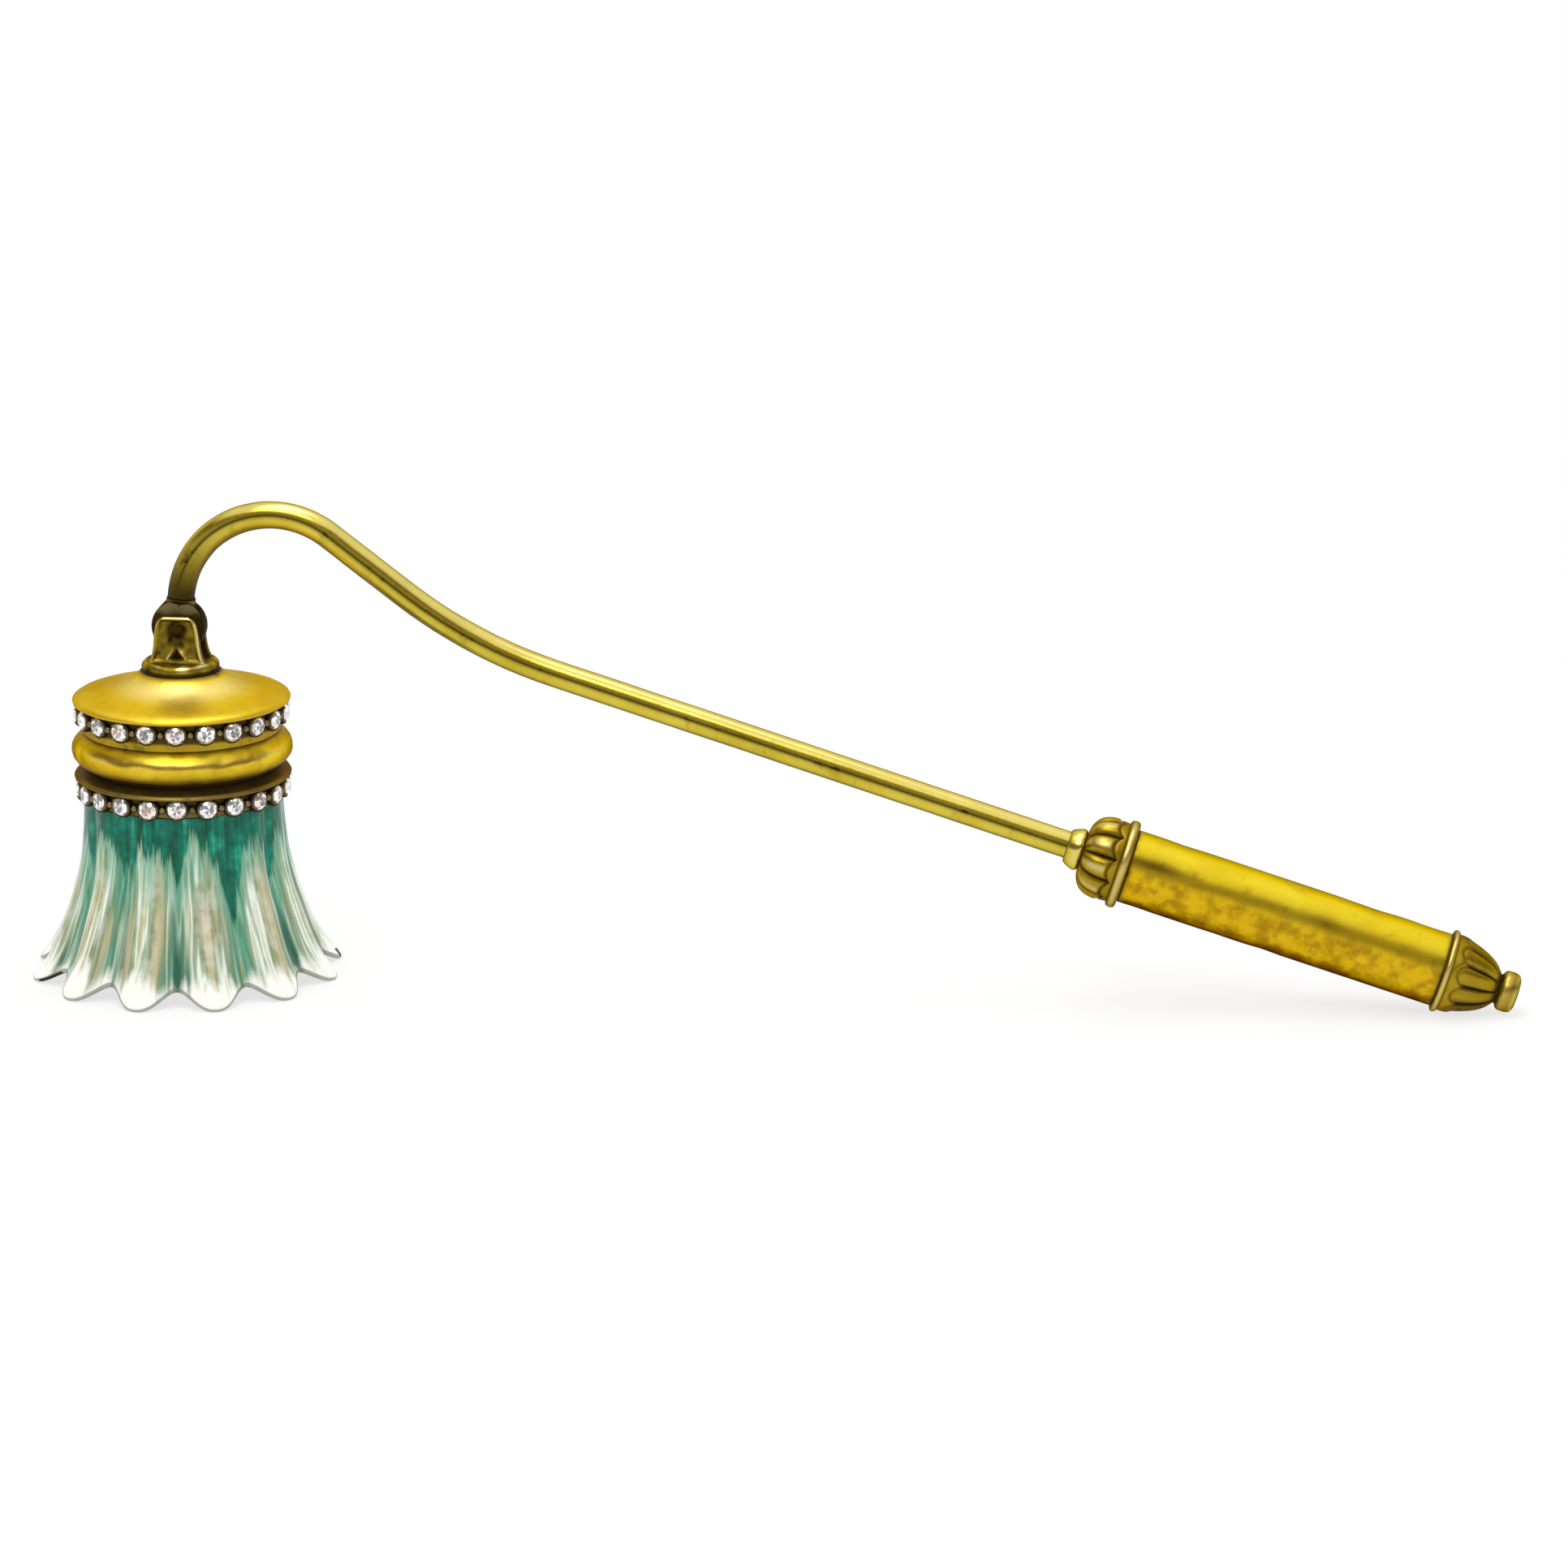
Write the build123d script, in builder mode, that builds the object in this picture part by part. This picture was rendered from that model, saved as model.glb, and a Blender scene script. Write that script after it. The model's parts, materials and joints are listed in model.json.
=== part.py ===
from build123d import *

import os
from math import cos, radians, sin

os.makedirs("parts", exist_ok=True)

# Candle snuffer: a jewelled flower bell hinged under a hooked stem with a tube handle.
# Millimetres. The origin is the centre of the bell's mouth on the table, +Z is up the bell,
# and the stem and the handle lie in the XZ plane, with the handle towards +X.

# Bell skirt
LOBE_COUNT = 12
LOBE_TURN = 22.0
SKIRT_HEIGHT = 28.0
SKIRT_TOP_RADIUS = 15.2
MOUTH_RADIUS = 24.2
SKIRT_WALL = 1.2
CROWN_WEB = 1.4
TOP_FLUTE_DEPTH = 0.45
MOUTH_FLUTE_DEPTH = 1.9
SCALLOP_HEIGHT = 2.3
LOBE_TIP_FLAT = 1.6

# Levels of the skirt from its top down: the shares are of its height, of its flare
# from the top radius to the mouth radius, and of the growth of the flutes
SKIRT_LEVEL_SHARES = [
    (1.0, 0.0, 0.0),
    (0.68, 0.085, 0.3),
    (0.43, 0.27, 0.6),
    (0.24, 0.53, 0.8),
    (0.093, 0.79, 0.95),
    (0.0, 1.0, 1.0),
]

# Half the width of a lobe's outer face, as a share of the lobe's pitch
LOBE_FACE_SHARE = 0.2

# Rings over the skirt, worked to flats: one behind each stone and one between
RING_SIDES = 44
BAND_RADIUS = 15.1
FLANGE_RADIUS = 16.25
FLANGE_EDGE = 0.5
LOWER_COLLAR_HEIGHT = 5.0
LOWER_BAND_HEIGHT = 2.95
FLANGE_SLOPE = 2.1
GROOVE_HEIGHT = 0.6
MIDDLE_BAND_HEIGHT = 5.3
MIDDLE_BAND_RADIUS = 16.85
MIDDLE_BAND_FOOT_BEVEL = 2.2
MIDDLE_BAND_FOOT_RISE = 1.3
MIDDLE_BAND_TOP_BEVEL = 1.9
MIDDLE_BAND_TOP_DROP = 2.1

# Domed cap with the upper stone band
UPPER_BAND_HEIGHT = 4.3
DOME_TOP = 47.4

# Tiers of the cap over its stone band: height, and how far the slope draws in from the radius
# where the last one ends; each slope stops short of its foot by the brim's edge or a turned line
DOME_TIERS = [(1.9, 3.3), (1.55, 4.1), (1.35, 2.8)]
TURNED_LINE = 0.1

# Stones and their cups
STONE_COUNT = 22
STONE_SIDES = 8
STONE_RADIUS = 1.4
STONE_CROWN = 0.5
STONE_CROWN_BEVEL = 0.6
STONE_DEPTH = 0.65
CUP_WALL = 0.17
CUP_DEPTH = 0.75
LOWER_STONE_HEIGHT = 29.47
UPPER_STONE_HEIGHT = 41.1

# Hinge
FOOT_RADIUS = 6.0
FOOT_THICKNESS = 1.7
PIN_RADIUS = 0.85
PIN_HEAD_RADIUS = 1.1
PIN_HEAD_HEIGHT = 0.3
KNUCKLE_RADIUS = 4.1
KNUCKLE_THICKNESS = 3.0
HINGE_CLEARANCE = 0.05
EAR_CLEARANCE = 0.15
KNUCKLE_TO_FOOT = 1.1
EAR_THICKNESS = 1.5
EAR_TOP_RISE = 1.9
EAR_TOP_WIDTH = 4.7
EAR_SHOULDER_WIDTH = 6.4
EAR_SHOULDER_DROP = 1.5
EAR_FOOT_WIDTH = 8.6
EAR_BORDER = 0.75
EAR_PANEL_DEPTH = 0.35
EAR_ARCH_WIDTH = 2.6
EAR_ARCH_HEIGHT = 2.5
EAR_ARCH_DEPTH = 0.35

# Stud, washer and nut that hold the bell together
STUD_RADIUS = 1.5
STUD_CLEARANCE = 0.1
STUD_END = 0.8
WASHER_RADIUS = 3.5
WASHER_THICKNESS = 0.5
NUT_FLATS = 5.5
NUT_HEIGHT = 2.4

# Stem: the rod has narrow flats all round, from corner to corner twice the radius
ROD_RADIUS = 2.1
ROD_FLATS = 16
NECK_RADIUS = 2.1
NECK_REACH = 4.5
NECK_LEAN = 4.87
TENON_WIDTH = 1.8
TENON_LENGTH = 2.4
CROOK_RADIUS = 14.2
CROOK_FALL = 37.4
CROOK_RUN = 14.2
REVERSE_RADIUS = 73.5
TILT = 17.4

# Handle, measured along its axis from the front of the tube
TUBE_RADIUS = 5.64
TUBE_WALL = 0.8
TUBE_LENGTH = 49.6
FRONT_RIM_RADIUS = 6.83
FRONT_RIM_WIDTH = 1.5
REAR_RIM_RADIUS = 6.42
REAR_RIM_WIDTH = 1.0
PETAL_COUNT = 10
PETAL_GROOVE_SHARE = 0.11

# Half the width of a petal's outer face, as a share of the petal's pitch
PETAL_FACE_SHARE = 0.22

# Tiers of each cap from its rim to its nose: length, radius, and the slope's draw and length
FRONT_CAP_TIERS = [(5.6, 6.2, 1.7, 2.8)]
REAR_CAP_TIERS = [(4.0, 5.9, 1.0, 3.4), (3.6, 4.85, 1.2, 3.5)]
CAP_SPIGOT_LENGTH = 2.0
CAP_SPIGOT_CLEARANCE = 0.05
ROD_BORE_CLEARANCE = 0.05
NUB_RADIUS = 3.25
NUB_WIDTH = 2.5
NUB_BEVEL = 0.9
KNOB_RADIUS = 3.1
KNOB_WIDTH = 3.4
KNOB_BEVEL = 0.7
ROD_TAIL_RADIUS = 1.5
ROD_TAIL_LENGTH = 2.2

# Length by which a cutting tool runs past what it cuts
OVERRUN = 1.0

# Heights worked out from the sizes above
collar_top = SKIRT_HEIGHT + LOWER_COLLAR_HEIGHT
middle_top = collar_top + MIDDLE_BAND_HEIGHT
upper_band_top = middle_top + UPPER_BAND_HEIGHT
foot_top = DOME_TOP + FOOT_THICKNESS
pin_height = foot_top + KNUCKLE_TO_FOOT + KNUCKLE_RADIUS
web_bottom = SKIRT_HEIGHT - CROWN_WEB
washer_bottom = web_bottom - WASHER_THICKNESS
nut_bottom = washer_bottom - NUT_HEIGHT
stud_bottom = nut_bottom - STUD_END
stud_hole_radius = STUD_RADIUS + STUD_CLEARANCE
cup_radius = STONE_RADIUS + CUP_WALL
front_cap_length = sum(tier[0] for tier in FRONT_CAP_TIERS)
rear_cap_length = sum(tier[0] for tier in REAR_CAP_TIERS)
knob_start = TUBE_LENGTH + REAR_RIM_WIDTH + rear_cap_length

# The stem's centreline and the handle's axis, both in the XZ plane
tilt_way = Vector(cos(radians(TILT)), 0, -sin(radians(TILT)))
neck_way = Vector(sin(radians(NECK_LEAN)), 0, cos(radians(NECK_LEAN)))
pin_centre = Vector(0, 0, pin_height)
rod_start = pin_centre + neck_way * NECK_REACH
rod_seat = Plane(origin=rod_start, x_dir=(0, 1, 0), z_dir=neck_way)
rod_start_angle = 90 - NECK_LEAN
rear_rim_centre_height = REAR_RIM_RADIUS * cos(radians(TILT)) + REAR_RIM_WIDTH * sin(radians(TILT))

with BuildLine(Plane.XZ) as bend_line:
    bend_crook = JernArc(
        start=(rod_start.X, rod_start.Z),
        tangent=(sin(radians(NECK_LEAN)), cos(radians(NECK_LEAN))),
        radius=CROOK_RADIUS,
        arc_size=-(rod_start_angle + CROOK_FALL),
    )
    bend_run = PolarLine(bend_crook @ 1, CROOK_RUN, direction=bend_crook % 1)
    bend_back = JernArc(
        start=bend_run @ 1,
        tangent=bend_run % 1,
        radius=REVERSE_RADIUS,
        arc_size=CROOK_FALL - TILT,
    )

bend_end = bend_back @ 1
straight_run = (bend_end.Z - rear_rim_centre_height) / sin(radians(TILT))
tube_start = bend_end + tilt_way * (straight_run - TUBE_LENGTH)
handle_axis = Axis((tube_start.X, 0, tube_start.Z), (tilt_way.X, 0, tilt_way.Z))


def polar_point(radius, angle):
    """A point of a level, from its radius and its angle in degrees."""
    return (radius * cos(radians(angle)), radius * sin(radians(angle)))


def lobed_points(count, turn, ridge_radius, depth, face_share):
    """The corners of a closed outline of lobes: a flat outer face each, and a crease between two."""
    pitch = 360 / count
    corners = []
    for lobe in range(count):
        middle = turn + lobe * pitch
        corners.append(polar_point(ridge_radius - depth, middle - pitch / 2))
        corners.append(polar_point(ridge_radius, middle - face_share * pitch))
        corners.append(polar_point(ridge_radius, middle + face_share * pitch))
    return corners


def skirt_solid(inset, top):
    """The skirt's shape below a height, drawn in by a wall thickness, in flat facets between levels."""
    levels = []
    for height_share, flare_share, flute_share in SKIRT_LEVEL_SHARES:
        height = min(height_share * SKIRT_HEIGHT, top)
        ridge = SKIRT_TOP_RADIUS + flare_share * (MOUTH_RADIUS - SKIRT_TOP_RADIUS) - inset
        depth = TOP_FLUTE_DEPTH + flute_share * (MOUTH_FLUTE_DEPTH - TOP_FLUTE_DEPTH)
        corners = lobed_points(LOBE_COUNT, LOBE_TURN, ridge, depth, LOBE_FACE_SHARE)
        levels.append([Vector(x, y, height) for x, y in corners])
    facets = [Face(Wire.make_polygon(levels[0])), Face(Wire.make_polygon(levels[-1]))]
    for upper, lower in zip(levels, levels[1:]):
        for here in range(len(upper)):
            after = (here + 1) % len(upper)
            facets.append(Face(Wire.make_polygon([upper[here], upper[after], lower[after]])))
            facets.append(Face(Wire.make_polygon([upper[here], lower[after], lower[here]])))
    return Solid(Shell(facets))


def along_handle(distance):
    """A plane across the handle's axis, at a distance from the front of the tube."""
    origin = tube_start + tilt_way * distance
    return Plane(origin=origin, x_dir=(0, 1, 0), z_dir=tilt_way)


def ring_level(height, radius):
    """One level of a ring over the skirt, with flats at the radius."""
    with BuildSketch(Plane.XY.offset(height)) as level:
        RegularPolygon(radius, RING_SIDES, major_radius=False, rotation=180 / RING_SIDES)
    return level.sketch


def top_edges(part):
    """The edges of a part's highest face, and that face to measure a bevel on."""
    face = part.faces().sort_by(Axis.Z)[-1]
    return face.edges(), face


# Bell skirt: a fluted shell with a web across its top and a scalloped mouth
skirt_outside = skirt_solid(0, SKIRT_HEIGHT)
skirt_hollow = skirt_solid(SKIRT_WALL, web_bottom)
with BuildPart() as bell_skirt:
    add(skirt_outside)
    add(skirt_hollow, mode=Mode.SUBTRACT)
    with BuildSketch(Plane.XY.offset(web_bottom)):
        Circle(stud_hole_radius)
    extrude(amount=CROWN_WEB, mode=Mode.SUBTRACT)
    for lobe in range(LOBE_COUNT):
        crease = LOBE_TURN + (lobe + 0.5) * 360 / LOBE_COUNT
        half_notch = (MOUTH_RADIUS - SKIRT_WALL) * sin(radians(180 / LOBE_COUNT)) - LOBE_TIP_FLAT / 2
        facing = Vector(cos(radians(crease)), sin(radians(crease)), 0)
        across = Vector(-sin(radians(crease)), cos(radians(crease)), 0)
        with BuildSketch(Plane(origin=facing * SKIRT_TOP_RADIUS, x_dir=across, z_dir=facing)):
            with BuildLine():
                ThreePointArc((-half_notch, 0), (0, SCALLOP_HEIGHT), (half_notch, 0))
                Line((half_notch, 0), (-half_notch, 0))
            make_face()
        extrude(amount=MOUTH_RADIUS - SKIRT_TOP_RADIUS + OVERRUN, mode=Mode.SUBTRACT)
bell_skirt.part.label = "bell_skirt"
export_step(bell_skirt.part, "parts/bell_skirt.step")

# Lower collar: the ring that carries the lower stones, with a sloping flange and a groove over it
with BuildPart() as lower_collar:
    extrude(ring_level(SKIRT_HEIGHT, BAND_RADIUS), amount=LOWER_BAND_HEIGHT)
    flange_height = LOWER_COLLAR_HEIGHT - LOWER_BAND_HEIGHT - GROOVE_HEIGHT
    extrude(ring_level(SKIRT_HEIGHT + LOWER_BAND_HEIGHT, FLANGE_RADIUS), amount=flange_height)
    edges, face = top_edges(lower_collar)
    chamfer(edges, length=FLANGE_SLOPE, length2=flange_height - FLANGE_EDGE, reference=face)
    extrude(ring_level(collar_top - GROOVE_HEIGHT, FLANGE_RADIUS - FLANGE_SLOPE), amount=GROOVE_HEIGHT)
    with BuildSketch(Plane.XY.offset(SKIRT_HEIGHT)):
        Circle(stud_hole_radius)
    extrude(amount=LOWER_COLLAR_HEIGHT, mode=Mode.SUBTRACT)
lower_collar.part.label = "lower_collar"
export_step(lower_collar.part, "parts/lower_collar.step")

# Middle band: a bulging ring between two slopes
with BuildPart() as middle_band:
    extrude(ring_level(collar_top, MIDDLE_BAND_RADIUS), amount=MIDDLE_BAND_HEIGHT)
    edges, face = top_edges(middle_band)
    chamfer(edges, length=MIDDLE_BAND_TOP_BEVEL, length2=MIDDLE_BAND_TOP_DROP, reference=face)
    foot = middle_band.faces().sort_by(Axis.Z)[0]
    chamfer(foot.edges(), length=MIDDLE_BAND_FOOT_BEVEL, length2=MIDDLE_BAND_FOOT_RISE, reference=foot)
    with BuildSketch(Plane.XY.offset(collar_top)):
        Circle(stud_hole_radius)
    extrude(amount=MIDDLE_BAND_HEIGHT, mode=Mode.SUBTRACT)
middle_band.part.label = "middle_band"
export_step(middle_band.part, "parts/middle_band.step")

# Domed cap: the upper stone band, a brim, a shoulder and a hollow rise to the foot of the hinge
with BuildPart() as dome_cap:
    extrude(ring_level(middle_top, BAND_RADIUS), amount=UPPER_BAND_HEIGHT)
    tier_foot = upper_band_top
    tier_radius = FLANGE_RADIUS
    for tier_height, tier_draw in DOME_TIERS:
        line_height = FLANGE_EDGE if tier_foot == upper_band_top else TURNED_LINE
        extrude(ring_level(tier_foot, tier_radius), amount=tier_height)
        edges, face = top_edges(dome_cap)
        chamfer(edges, length=tier_draw, length2=tier_height - line_height, reference=face)
        tier_foot += tier_height
        tier_radius -= tier_draw
    with BuildSketch(Plane.XY.offset(middle_top)):
        Circle(stud_hole_radius)
    extrude(amount=DOME_TOP - middle_top, mode=Mode.SUBTRACT)
dome_cap.part.label = "dome_cap"
export_step(dome_cap.part, "parts/dome_cap.step")


def stone_face(height):
    """The flat seat of the first stone on its band, facing outward."""
    return Plane(origin=(BAND_RADIUS, 0, height), x_dir=(0, 1, 0), z_dir=(1, 0, 0))


def stone_cup_ring(height):
    """A ring of separate cups on the band's flats, each with its rim round the stone that it holds."""
    with BuildPart() as cup:
        with BuildSketch(stone_face(height)):
            RegularPolygon(cup_radius, STONE_SIDES, rotation=180 / STONE_SIDES)
        extrude(amount=CUP_DEPTH)
    with BuildPart() as ring:
        with PolarLocations(0, STONE_COUNT):
            add(cup.part)
    return ring.part


def stone_ring(height):
    """A ring of separate cut stones: a crown that slopes to a flat table, over a straight girdle."""
    seat = stone_face(height).offset(CUP_DEPTH)
    with BuildPart() as stone:
        with BuildSketch(seat):
            RegularPolygon(STONE_RADIUS, STONE_SIDES, rotation=180 / STONE_SIDES)
        extrude(amount=STONE_DEPTH)
        table = stone.faces().sort_by(Axis.X)[-1]
        chamfer(table.edges(), length=STONE_CROWN_BEVEL, length2=STONE_CROWN, reference=table)
    with BuildPart() as ring:
        with PolarLocations(0, STONE_COUNT):
            add(stone.part)
    return ring.part


# Cups and stones, one ring of each on the lower collar and one on the domed cap
for ring_name, ring_height in (("lower", LOWER_STONE_HEIGHT), ("upper", UPPER_STONE_HEIGHT)):
    cups = stone_cup_ring(ring_height)
    cups.label = ring_name + "_stone_cups"
    export_step(cups, "parts/" + cups.label + ".step")
    stones = stone_ring(ring_height)
    stones.label = ring_name + "_stones"
    export_step(stones, "parts/" + stones.label + ".step")

# Hinge clevis: a round foot, two ears with a bordered panel and an arch, and the stud
ear_top = pin_height + EAR_TOP_RISE
ear_shoulder = ear_top - EAR_SHOULDER_DROP
ear_inner = KNUCKLE_THICKNESS / 2 + EAR_CLEARANCE
ear_outer = ear_inner + EAR_THICKNESS


def ear_outline(plane, border):
    """The ear's outline, or its panel when drawn in by the border."""
    with BuildSketch(plane) as outline:
        with BuildLine():
            Polyline(
                (-EAR_FOOT_WIDTH / 2 + border, foot_top + border),
                (-EAR_SHOULDER_WIDTH / 2 + border, ear_shoulder),
                (-EAR_TOP_WIDTH / 2 + border, ear_top - border),
                (EAR_TOP_WIDTH / 2 - border, ear_top - border),
                (EAR_SHOULDER_WIDTH / 2 - border, ear_shoulder),
                (EAR_FOOT_WIDTH / 2 - border, foot_top + border),
                close=True,
            )
        make_face()
    return outline.sketch


def arch_outline(plane):
    """The small pointed arch at the foot of the ear's panel."""
    with BuildSketch(plane) as outline:
        with BuildLine():
            arch_foot = foot_top + EAR_BORDER
            arch_half = EAR_ARCH_WIDTH / 2
            Polyline(
                (-arch_half, arch_foot),
                (-arch_half / 2, arch_foot + EAR_ARCH_HEIGHT / 2),
                (0, arch_foot + EAR_ARCH_HEIGHT),
                (arch_half / 2, arch_foot + EAR_ARCH_HEIGHT / 2),
                (arch_half, arch_foot),
                close=True,
            )
        make_face()
    return outline.sketch


with BuildPart() as hinge_clevis:
    with BuildSketch(Plane.XY.offset(DOME_TOP)):
        Circle(FOOT_RADIUS)
    extrude(amount=FOOT_THICKNESS)
    extrude(ear_outline(Plane.XZ, 0), amount=ear_outer, both=True)
    extrude(ear_outline(Plane.XZ.offset(ear_outer), EAR_BORDER), amount=-EAR_PANEL_DEPTH, mode=Mode.SUBTRACT)
    extrude(ear_outline(Plane.XZ.offset(-ear_outer), EAR_BORDER), amount=EAR_PANEL_DEPTH, mode=Mode.SUBTRACT)
    panel = ear_outer - EAR_PANEL_DEPTH
    extrude(arch_outline(Plane.XZ.offset(panel)), amount=-EAR_ARCH_DEPTH, mode=Mode.SUBTRACT)
    extrude(arch_outline(Plane.XZ.offset(-panel)), amount=EAR_ARCH_DEPTH, mode=Mode.SUBTRACT)
    with BuildSketch(Plane.XY.offset(foot_top)):
        Rectangle(2 * FOOT_RADIUS, 2 * ear_inner)
    extrude(amount=ear_top - foot_top + OVERRUN, mode=Mode.SUBTRACT)
    with BuildSketch(Plane.XZ):
        with Locations((0, pin_height)):
            Circle(PIN_RADIUS)
    extrude(amount=ear_outer, both=True, mode=Mode.SUBTRACT)
    with BuildSketch(Plane.XY.offset(stud_bottom)):
        Circle(STUD_RADIUS)
    extrude(amount=DOME_TOP - stud_bottom)
hinge_clevis.part.label = "hinge_clevis"
export_step(hinge_clevis.part, "parts/hinge_clevis.step")

# Hinge pin: a rivet through both ears, with a low head in each panel
with BuildPart() as hinge_pin:
    with BuildSketch(Plane.XZ):
        with Locations((0, pin_height)):
            Circle(PIN_RADIUS)
    extrude(amount=panel, both=True)
    for side in (panel, -panel):
        with BuildSketch(Plane.XZ.offset(side)):
            with Locations((0, pin_height)):
                Circle(PIN_HEAD_RADIUS)
        extrude(amount=PIN_HEAD_HEIGHT if side > 0 else -PIN_HEAD_HEIGHT)
hinge_pin.part.label = "hinge_pin"
export_step(hinge_pin.part, "parts/hinge_pin.step")

# Washer and nut under the skirt's web
with BuildPart() as stack_washer:
    with BuildSketch(Plane.XY.offset(washer_bottom)):
        Circle(WASHER_RADIUS)
        Circle(stud_hole_radius, mode=Mode.SUBTRACT)
    extrude(amount=WASHER_THICKNESS)
stack_washer.part.label = "stack_washer"
export_step(stack_washer.part, "parts/stack_washer.step")

with BuildPart() as stack_nut:
    with BuildSketch(Plane.XY.offset(nut_bottom)):
        RegularPolygon(NUT_FLATS / 2, 6, major_radius=False)
        Circle(STUD_RADIUS, mode=Mode.SUBTRACT)
    extrude(amount=NUT_HEIGHT)
stack_nut.part.label = "stack_nut"
export_step(stack_nut.part, "parts/stack_nut.step")

# Stem knuckle: a disc on the pin, with a neck and a square tenon that keeps the rod from turning
with BuildPart() as stem_knuckle:
    with BuildSketch(Plane.XZ):
        with Locations((0, pin_height)):
            Circle(KNUCKLE_RADIUS)
    extrude(amount=KNUCKLE_THICKNESS / 2, both=True)
    neck_start = pin_centre + neck_way * (KNUCKLE_RADIUS - KNUCKLE_TO_FOOT / 2)
    with BuildSketch(Plane(origin=neck_start, z_dir=neck_way)):
        Circle(NECK_RADIUS)
    extrude(amount=(rod_start - neck_start).length)
    with BuildSketch(rod_seat):
        Rectangle(TENON_WIDTH, TENON_WIDTH)
    extrude(amount=TENON_LENGTH)
    with BuildSketch(Plane.XZ):
        with Locations((0, pin_height)):
            Circle(PIN_RADIUS + HINGE_CLEARANCE)
    extrude(amount=KNUCKLE_THICKNESS, both=True, mode=Mode.SUBTRACT)
stem_knuckle.part.label = "stem_knuckle"
export_step(stem_knuckle.part, "parts/stem_knuckle.step")

# Stem rod: the crook, a short run, the reverse bend and the straight run through the handle
with BuildPart() as stem_rod:
    with BuildLine(Plane.XZ) as rod_line:
        rod_crook = add(bend_crook)
        rod_run = add(bend_run)
        rod_back = add(bend_back)
        Line(bend_end, bend_end + tilt_way * (straight_run - TUBE_LENGTH + knob_start))
    with BuildSketch(rod_seat):
        RegularPolygon(ROD_RADIUS, ROD_FLATS)
    sweep(path=rod_line.line)
    with BuildSketch(rod_seat):
        Rectangle(TENON_WIDTH, TENON_WIDTH)
    extrude(amount=TENON_LENGTH, mode=Mode.SUBTRACT)
    with BuildSketch(along_handle(knob_start)):
        Circle(ROD_TAIL_RADIUS)
    extrude(amount=ROD_TAIL_LENGTH)
stem_rod.part.label = "stem_rod"
export_step(stem_rod.part, "parts/stem_rod.step")

# Handle tube
with BuildPart() as handle_tube:
    with BuildSketch(along_handle(0)):
        Circle(TUBE_RADIUS)
        Circle(TUBE_RADIUS - TUBE_WALL, mode=Mode.SUBTRACT)
    extrude(amount=TUBE_LENGTH)
handle_tube.part.label = "handle_tube"
export_step(handle_tube.part, "parts/handle_tube.step")


def rim(start, width, radius):
    """A raised ring across the handle, over the cap's spigot."""
    with BuildPart() as ring:
        with BuildSketch(along_handle(start)):
            Circle(radius)
            Circle(TUBE_RADIUS - TUBE_WALL, mode=Mode.SUBTRACT)
        extrude(amount=width)
    return ring.part


front_rim = rim(-FRONT_RIM_WIDTH, FRONT_RIM_WIDTH, FRONT_RIM_RADIUS)
front_rim.label = "front_rim"
export_step(front_rim, "parts/front_rim.step")
rear_rim = rim(TUBE_LENGTH, REAR_RIM_WIDTH, REAR_RIM_RADIUS)
rear_rim.label = "rear_rim"
export_step(rear_rim, "parts/rear_rim.step")


def fluted_cap(start, way, rim_width, tiers):
    """A cap of petals parted by grooves, with a spigot into the tube and a bore for the rod."""
    nose = start
    with BuildPart() as cap:
        for length, radius, slope_draw, slope_length in tiers:
            groove = PETAL_GROOVE_SHARE * radius
            with BuildSketch(along_handle(nose)):
                with BuildLine():
                    Polyline(*lobed_points(PETAL_COUNT, 0, radius, groove, PETAL_FACE_SHARE), close=True)
                make_face()
            extrude(amount=way * length)
            face = cap.faces().sort_by(handle_axis)[-1 if way > 0 else 0]
            chamfer(face.edges(), length=slope_draw, length2=slope_length, reference=face)
            nose += way * length
        with BuildSketch(along_handle(start)):
            Circle(TUBE_RADIUS - TUBE_WALL - CAP_SPIGOT_CLEARANCE)
        extrude(amount=-way * (rim_width + CAP_SPIGOT_LENGTH))
        with BuildSketch(along_handle(start - way * (rim_width + CAP_SPIGOT_LENGTH))):
            Circle(ROD_RADIUS + ROD_BORE_CLEARANCE)
        extrude(amount=nose - start + way * (rim_width + CAP_SPIGOT_LENGTH), mode=Mode.SUBTRACT)
    return cap.part


front_cap = fluted_cap(-FRONT_RIM_WIDTH, -1, FRONT_RIM_WIDTH, FRONT_CAP_TIERS)
front_cap.label = "front_cap"
export_step(front_cap, "parts/front_cap.step")
rear_cap = fluted_cap(TUBE_LENGTH + REAR_RIM_WIDTH, 1, REAR_RIM_WIDTH, REAR_CAP_TIERS)
rear_cap.label = "rear_cap"
export_step(rear_cap, "parts/rear_cap.step")

# Front nub: a collar fixed on the rod, which the handle's pieces bear against
with BuildPart() as front_nub:
    nub_end = -FRONT_RIM_WIDTH - front_cap_length
    with BuildSketch(along_handle(nub_end - NUB_WIDTH)):
        Circle(NUB_RADIUS)
        Circle(ROD_RADIUS, mode=Mode.SUBTRACT)
    extrude(amount=NUB_WIDTH)
    nub_edges = front_nub.edges().filter_by(GeomType.CIRCLE).group_by(SortBy.RADIUS)[-1]
    chamfer(nub_edges.sort_by(handle_axis)[0], NUB_BEVEL)
front_nub.part.label = "front_nub"
export_step(front_nub.part, "parts/front_nub.step")

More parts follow.
